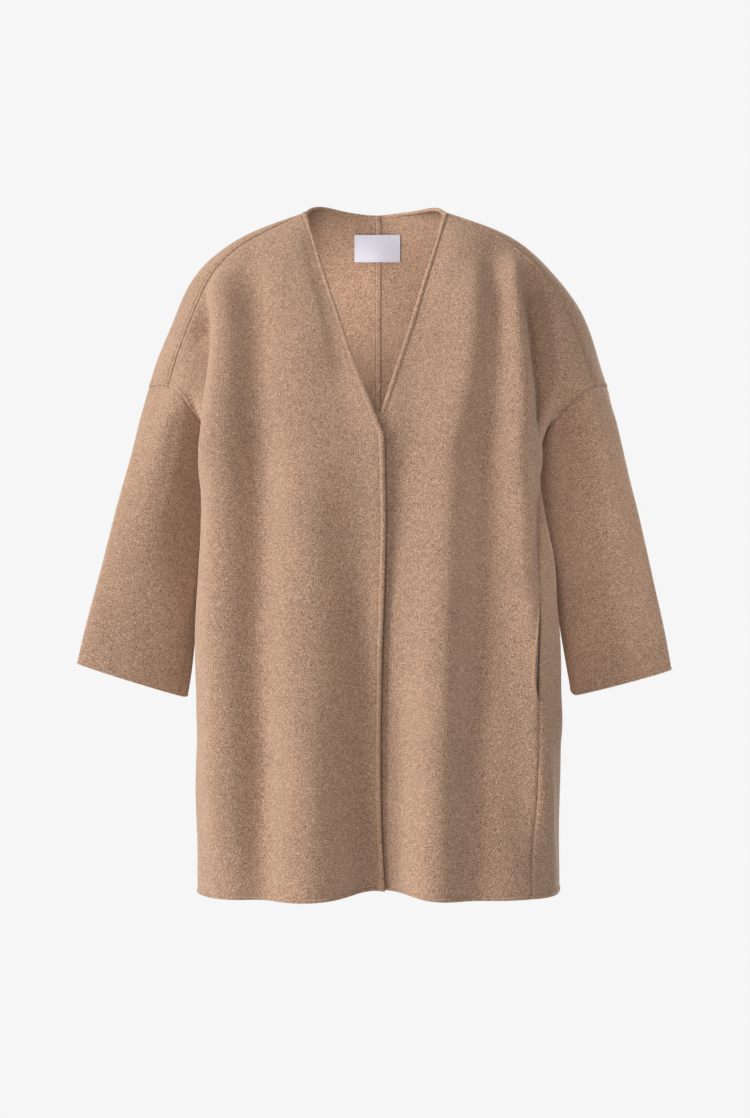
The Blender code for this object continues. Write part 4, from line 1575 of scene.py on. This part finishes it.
@dataclass
class NeckLabel:
    """The bare label inside the back of the neck, sewn round its border."""

    satin: Material
    thread: Material
    width: float = 0.0625
    height: float = 0.0365
    top: float = -0.0235
    shift: float = 0.0020
    wall: float = 0.0007
    stand_off: float = 0.0004
    inset: float = 0.0030
    inset_draw: float = 0.00025
    inset_width: float = 0.0008
    lift: float = 0.0016
    lift_from: float = 0.86
    lift_wave: tuple[float, float, float, float] = (0.75, 0.35, 7.0, 0.4)
    puff: float = 0.0005
    bridge: float = 0.0022
    bridge_at: float = 0.0036
    bridge_width: float = 0.024
    pitch: float = 0.0010
    cut_share: float = 0.999
    sheet: Sheet = field(init=False)

    def lay(self, body: Body) -> None:
        """Lays the label on the inside of both halves of the back, bridging their seam.

        Args:
            body: The body that carries it.
        """
        neck = np.s_[SKIRT_ROWS + YOKE_ROWS // 2 :, : NECK_COLUMNS + 1]
        right, left = (
            cloth.middle[neck] - cloth.normals[neck] * (CLOTH / 2 + self.stand_off)
            for cloth in (body.cloths["back_right"], body.cloths["back_left"])
        )
        grid = np.concatenate([right[:, :0:-1], left], axis=1)[::-1]
        across = np.linspace(-0.5, 0.5, round(self.width / self.pitch) + 1) * self.width + self.shift
        levels = self.top - np.linspace(0.0, self.height, round(self.height / self.pitch) + 1)
        lie = np.empty((len(levels), len(across), 3))
        for k, x in enumerate(across):
            line = np.array([[np.interp(x, row[:, 0], row[:, axis]) for axis in range(3)] for row in grid])
            for axis in range(3):
                lie[:, k, axis] = np.interp(-levels, -line[:, 2], line[:, axis])
        # Its stiff satin lies in one even curve across, clear of the cloth everywhere.
        even = np.array([np.polyval(np.polyfit(across, row, 2), across) for row in lie[..., 1]])
        lie[..., 1] = even - np.max(even - lie[..., 1])
        self.sheet = Sheet("label", lie, 1.0, self.wall)
        x = (lie[..., 0] - self.shift) / self.width
        down = (self.top - lie[..., 2]) / self.height
        least, swing, turns, phase = self.lift_wave
        wave = least + swing * np.sin(turns * x + phase)
        rise = self.lift * smooth_step(self.lift_from, 1.0, down) * wave
        rise = rise + self.puff * np.sin(np.pi * np.clip(down, 0, 1)) * np.cos(np.pi * x)
        rise = rise + self.bridge * bell(lie[..., 0] - self.bridge_at, self.bridge_width)
        drawn = self.inset_draw * bell(self.sheet.to_edge - self.inset, self.inset_width)
        self.sheet.push(rise - drawn + self.wall / 2)

    def stitches(self) -> Object:
        """Sews the stitches round the label's border.

        Returns:
            The stitches as one piece.
        """
        outer = self.sheet.faces()[0]
        step = round(self.inset / self.pitch)
        low, high = step, -1 - step
        rows = np.concatenate(
            [
                outer[low, low:high],
                outer[low:high, high],
                outer[high, high:low:-1],
                outer[high : low - 1 : -1, low],
            ]
        )
        row = StitchRow(
            "label_stitches", self.thread, pitch=0.0026, length=0.0021, radius=0.00022, waver=0.04
        )
        piece = row.build([rows])
        return piece

    def dress(self) -> None:
        """Makes the label with its stitches and ties both to the frame."""
        stitches = self.stitches()
        declare(self.sheet.build(self.satin))


@dataclass
class FellStitches:
    """Felling stitches that hold the turned edges down on the inside of the coat."""

    thread: Material
    neck_line: float = 0.0050
    neck_half: float = 0.088
    clear: int = 2

    def dress(self, body: Body, sleeves: list[Sleeve]) -> Object:
        """Sews them behind the bands of the hem, the front edges, the neck and the cuffs.

        Args:
            body: The finished body.
            sleeves: The finished sleeves.

        Returns:
            All of the stitches as one piece.
        """
        line, clear = FREE_MARKS.index(FELL_MARK), self.clear
        paths = []
        for name, sheet in body.sheets.items():
            inner = sheet.faces()[1]
            paths.append(inner[line, line:-clear])
            if name.startswith("front"):
                paths.append(inner[line:-clear, line])
            else:
                row = -1 - int(np.searchsorted(sheet.to_top[::-1, 0], self.neck_line))
                neck = np.abs(inner[row, :, 0]) < self.neck_half
                paths.append(inner[row, neck][clear:])
        for sleeve in sleeves:
            paths.append(sleeve.sheet.faces()[1][-1 - line, clear:-clear])
        row = StitchRow(
            "fell_stitches", self.thread, pitch=0.0055, length=0.0024, radius=0.00035, waver=0.5
        )
        piece = row.build(paths)
        return piece


class SoftBox(NamedTuple):
    """A soft box: where it hangs, its width, its power in watts, what it faces and its beam."""

    name: str
    at: Point
    size: float
    power: float
    faces: Point = (0.0, 0.0, -0.42)
    spread: float = 180.0


SOFT_BOXES = (
    SoftBox("key_box", (-5.7, -2.75, 1.7), 3.2, 475.0),
    SoftBox("front_box", (-0.8, -3.5, 0.5), 2.0, 48.0),
    SoftBox("fill_box", (3.3, -1.1, 0.4), 1.8, 26.0),
    SoftBox("sleeve_box", (1.3, -2.9, -0.1), 0.4, 0.17, (0.36, 0.0, -0.42), 12.0),
    SoftBox("back_box", (2.0, 4.0, 1.3), 1.6, 200.0),
    SoftBox("neck_lamp", (-0.070, -0.030, -0.12), 0.12, 0.22, (0.02, 0.085, -0.16)),
)


@dataclass
class Studio:
    """The photographer's light, backdrop and camera."""

    camera_at: Point = (-0.0013, -3.4, -0.465)
    lens: float = 82.1
    sensor: float = 36.0
    floor_level: float = -1.44
    floor_radius: float = 0.93
    floor_sides: int = 96
    backdrop: float = 0.922
    ambient: float = 0.10

    def build(self) -> None:
        """Sets up the camera, the lights, the backdrop and the floor."""
        scene = bpy.context.scene
        scene.view_settings.view_transform = "Standard"
        data = bpy.data.cameras.new("photo_camera")
        data.sensor_fit = "VERTICAL"
        data.sensor_height = self.sensor
        data.lens = self.lens
        scene.camera = add_object("photo_camera", data)
        scene.camera.location = self.camera_at
        scene.camera.rotation_euler = (math.pi / 2, 0.0, 0.0)
        for box in SOFT_BOXES:
            self.hang(box)
        self.world()
        self.floor()

    def hang(self, box: SoftBox) -> None:
        """Hangs a soft box.

        Args:
            box: Its place, size and power.
        """
        data = bpy.data.lights.new(box.name, "AREA")
        data.shape = "DISK"
        data.size = box.size
        data.energy = box.power
        data.spread = math.radians(box.spread)
        light = add_object(box.name, data)
        light.location = box.at
        light.visible_camera = False
        way = unit(np.subtract(box.faces, box.at))
        light.rotation_euler = (math.acos(-way[2]), 0.0, math.atan2(-way[0], way[1]))

    def world(self) -> None:
        """Lights the room dimly and evenly, and shows the backdrop as white paper."""
        world = bpy.data.worlds.new("studio_room")
        world.use_nodes = True
        tree = world.node_tree
        tree.nodes.clear()
        seen = add_node(tree, "ShaderNodeLightPath").outputs["Is Camera Ray"]
        room, paper = (
            add_node(tree, "ShaderNodeBackground", values={"Color": linear("#ffffff"), "Strength": strength})
            for strength in (self.ambient, self.backdrop)
        )
        mix = add_node(tree, "ShaderNodeMixShader", links={0: seen, 1: room, 2: paper})
        add_node(tree, "ShaderNodeOutputWorld", links={"Surface": mix})
        bpy.context.scene.world = world

    def floor(self) -> None:
        """Lays a round sheet of paper below the coat."""
        turn = np.linspace(0.0, 2 * math.pi, self.floor_sides, endpoint=False)
        rim = np.stack([np.cos(turn), np.sin(turn), 0.0 * turn], axis=1) * self.floor_radius
        rim[:, 2] = self.floor_level
        mesh = bpy.data.meshes.new("studio_floor")
        mesh.from_pydata(rim.tolist(), [], [list(range(self.floor_sides))])
        mesh.materials.append(STUDIO_PAPER.material())
        add_object("studio_floor", mesh)


def main() -> None:
    """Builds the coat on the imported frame, and its studio."""
    logging.basicConfig(level=logging.INFO, format="%(message)s")
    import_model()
    wool = WoolFinish().material()
    wool_thread = WOOL_THREAD.material()
    label_thread = LABEL_THREAD.material()

    Studio().build()
    body = Body(WornForm(), wool)
    body.lay()
    body.finish()
    sleeves = [
        Sleeve(Side.LEFT, wool, flare=-0.087, swell=0.055, corner=0.010),
        Sleeve(Side.RIGHT, wool, flare=0.12, swell=0.07, corner=0.002),
    ]
    for sleeve in sleeves:
        sleeve.lay(body)
        sleeve.finish()
    body.dress((FellStitches(wool_thread).dress(body, sleeves),))
    for sleeve in sleeves:
        sleeve.dress()
    for side in Side:
        PocketBag(side, wool).dress(body)
    label = NeckLabel(LABEL_SATIN.material(), label_thread)
    label.lay(body)
    label.dress()


if __name__ == "__main__":
    main()
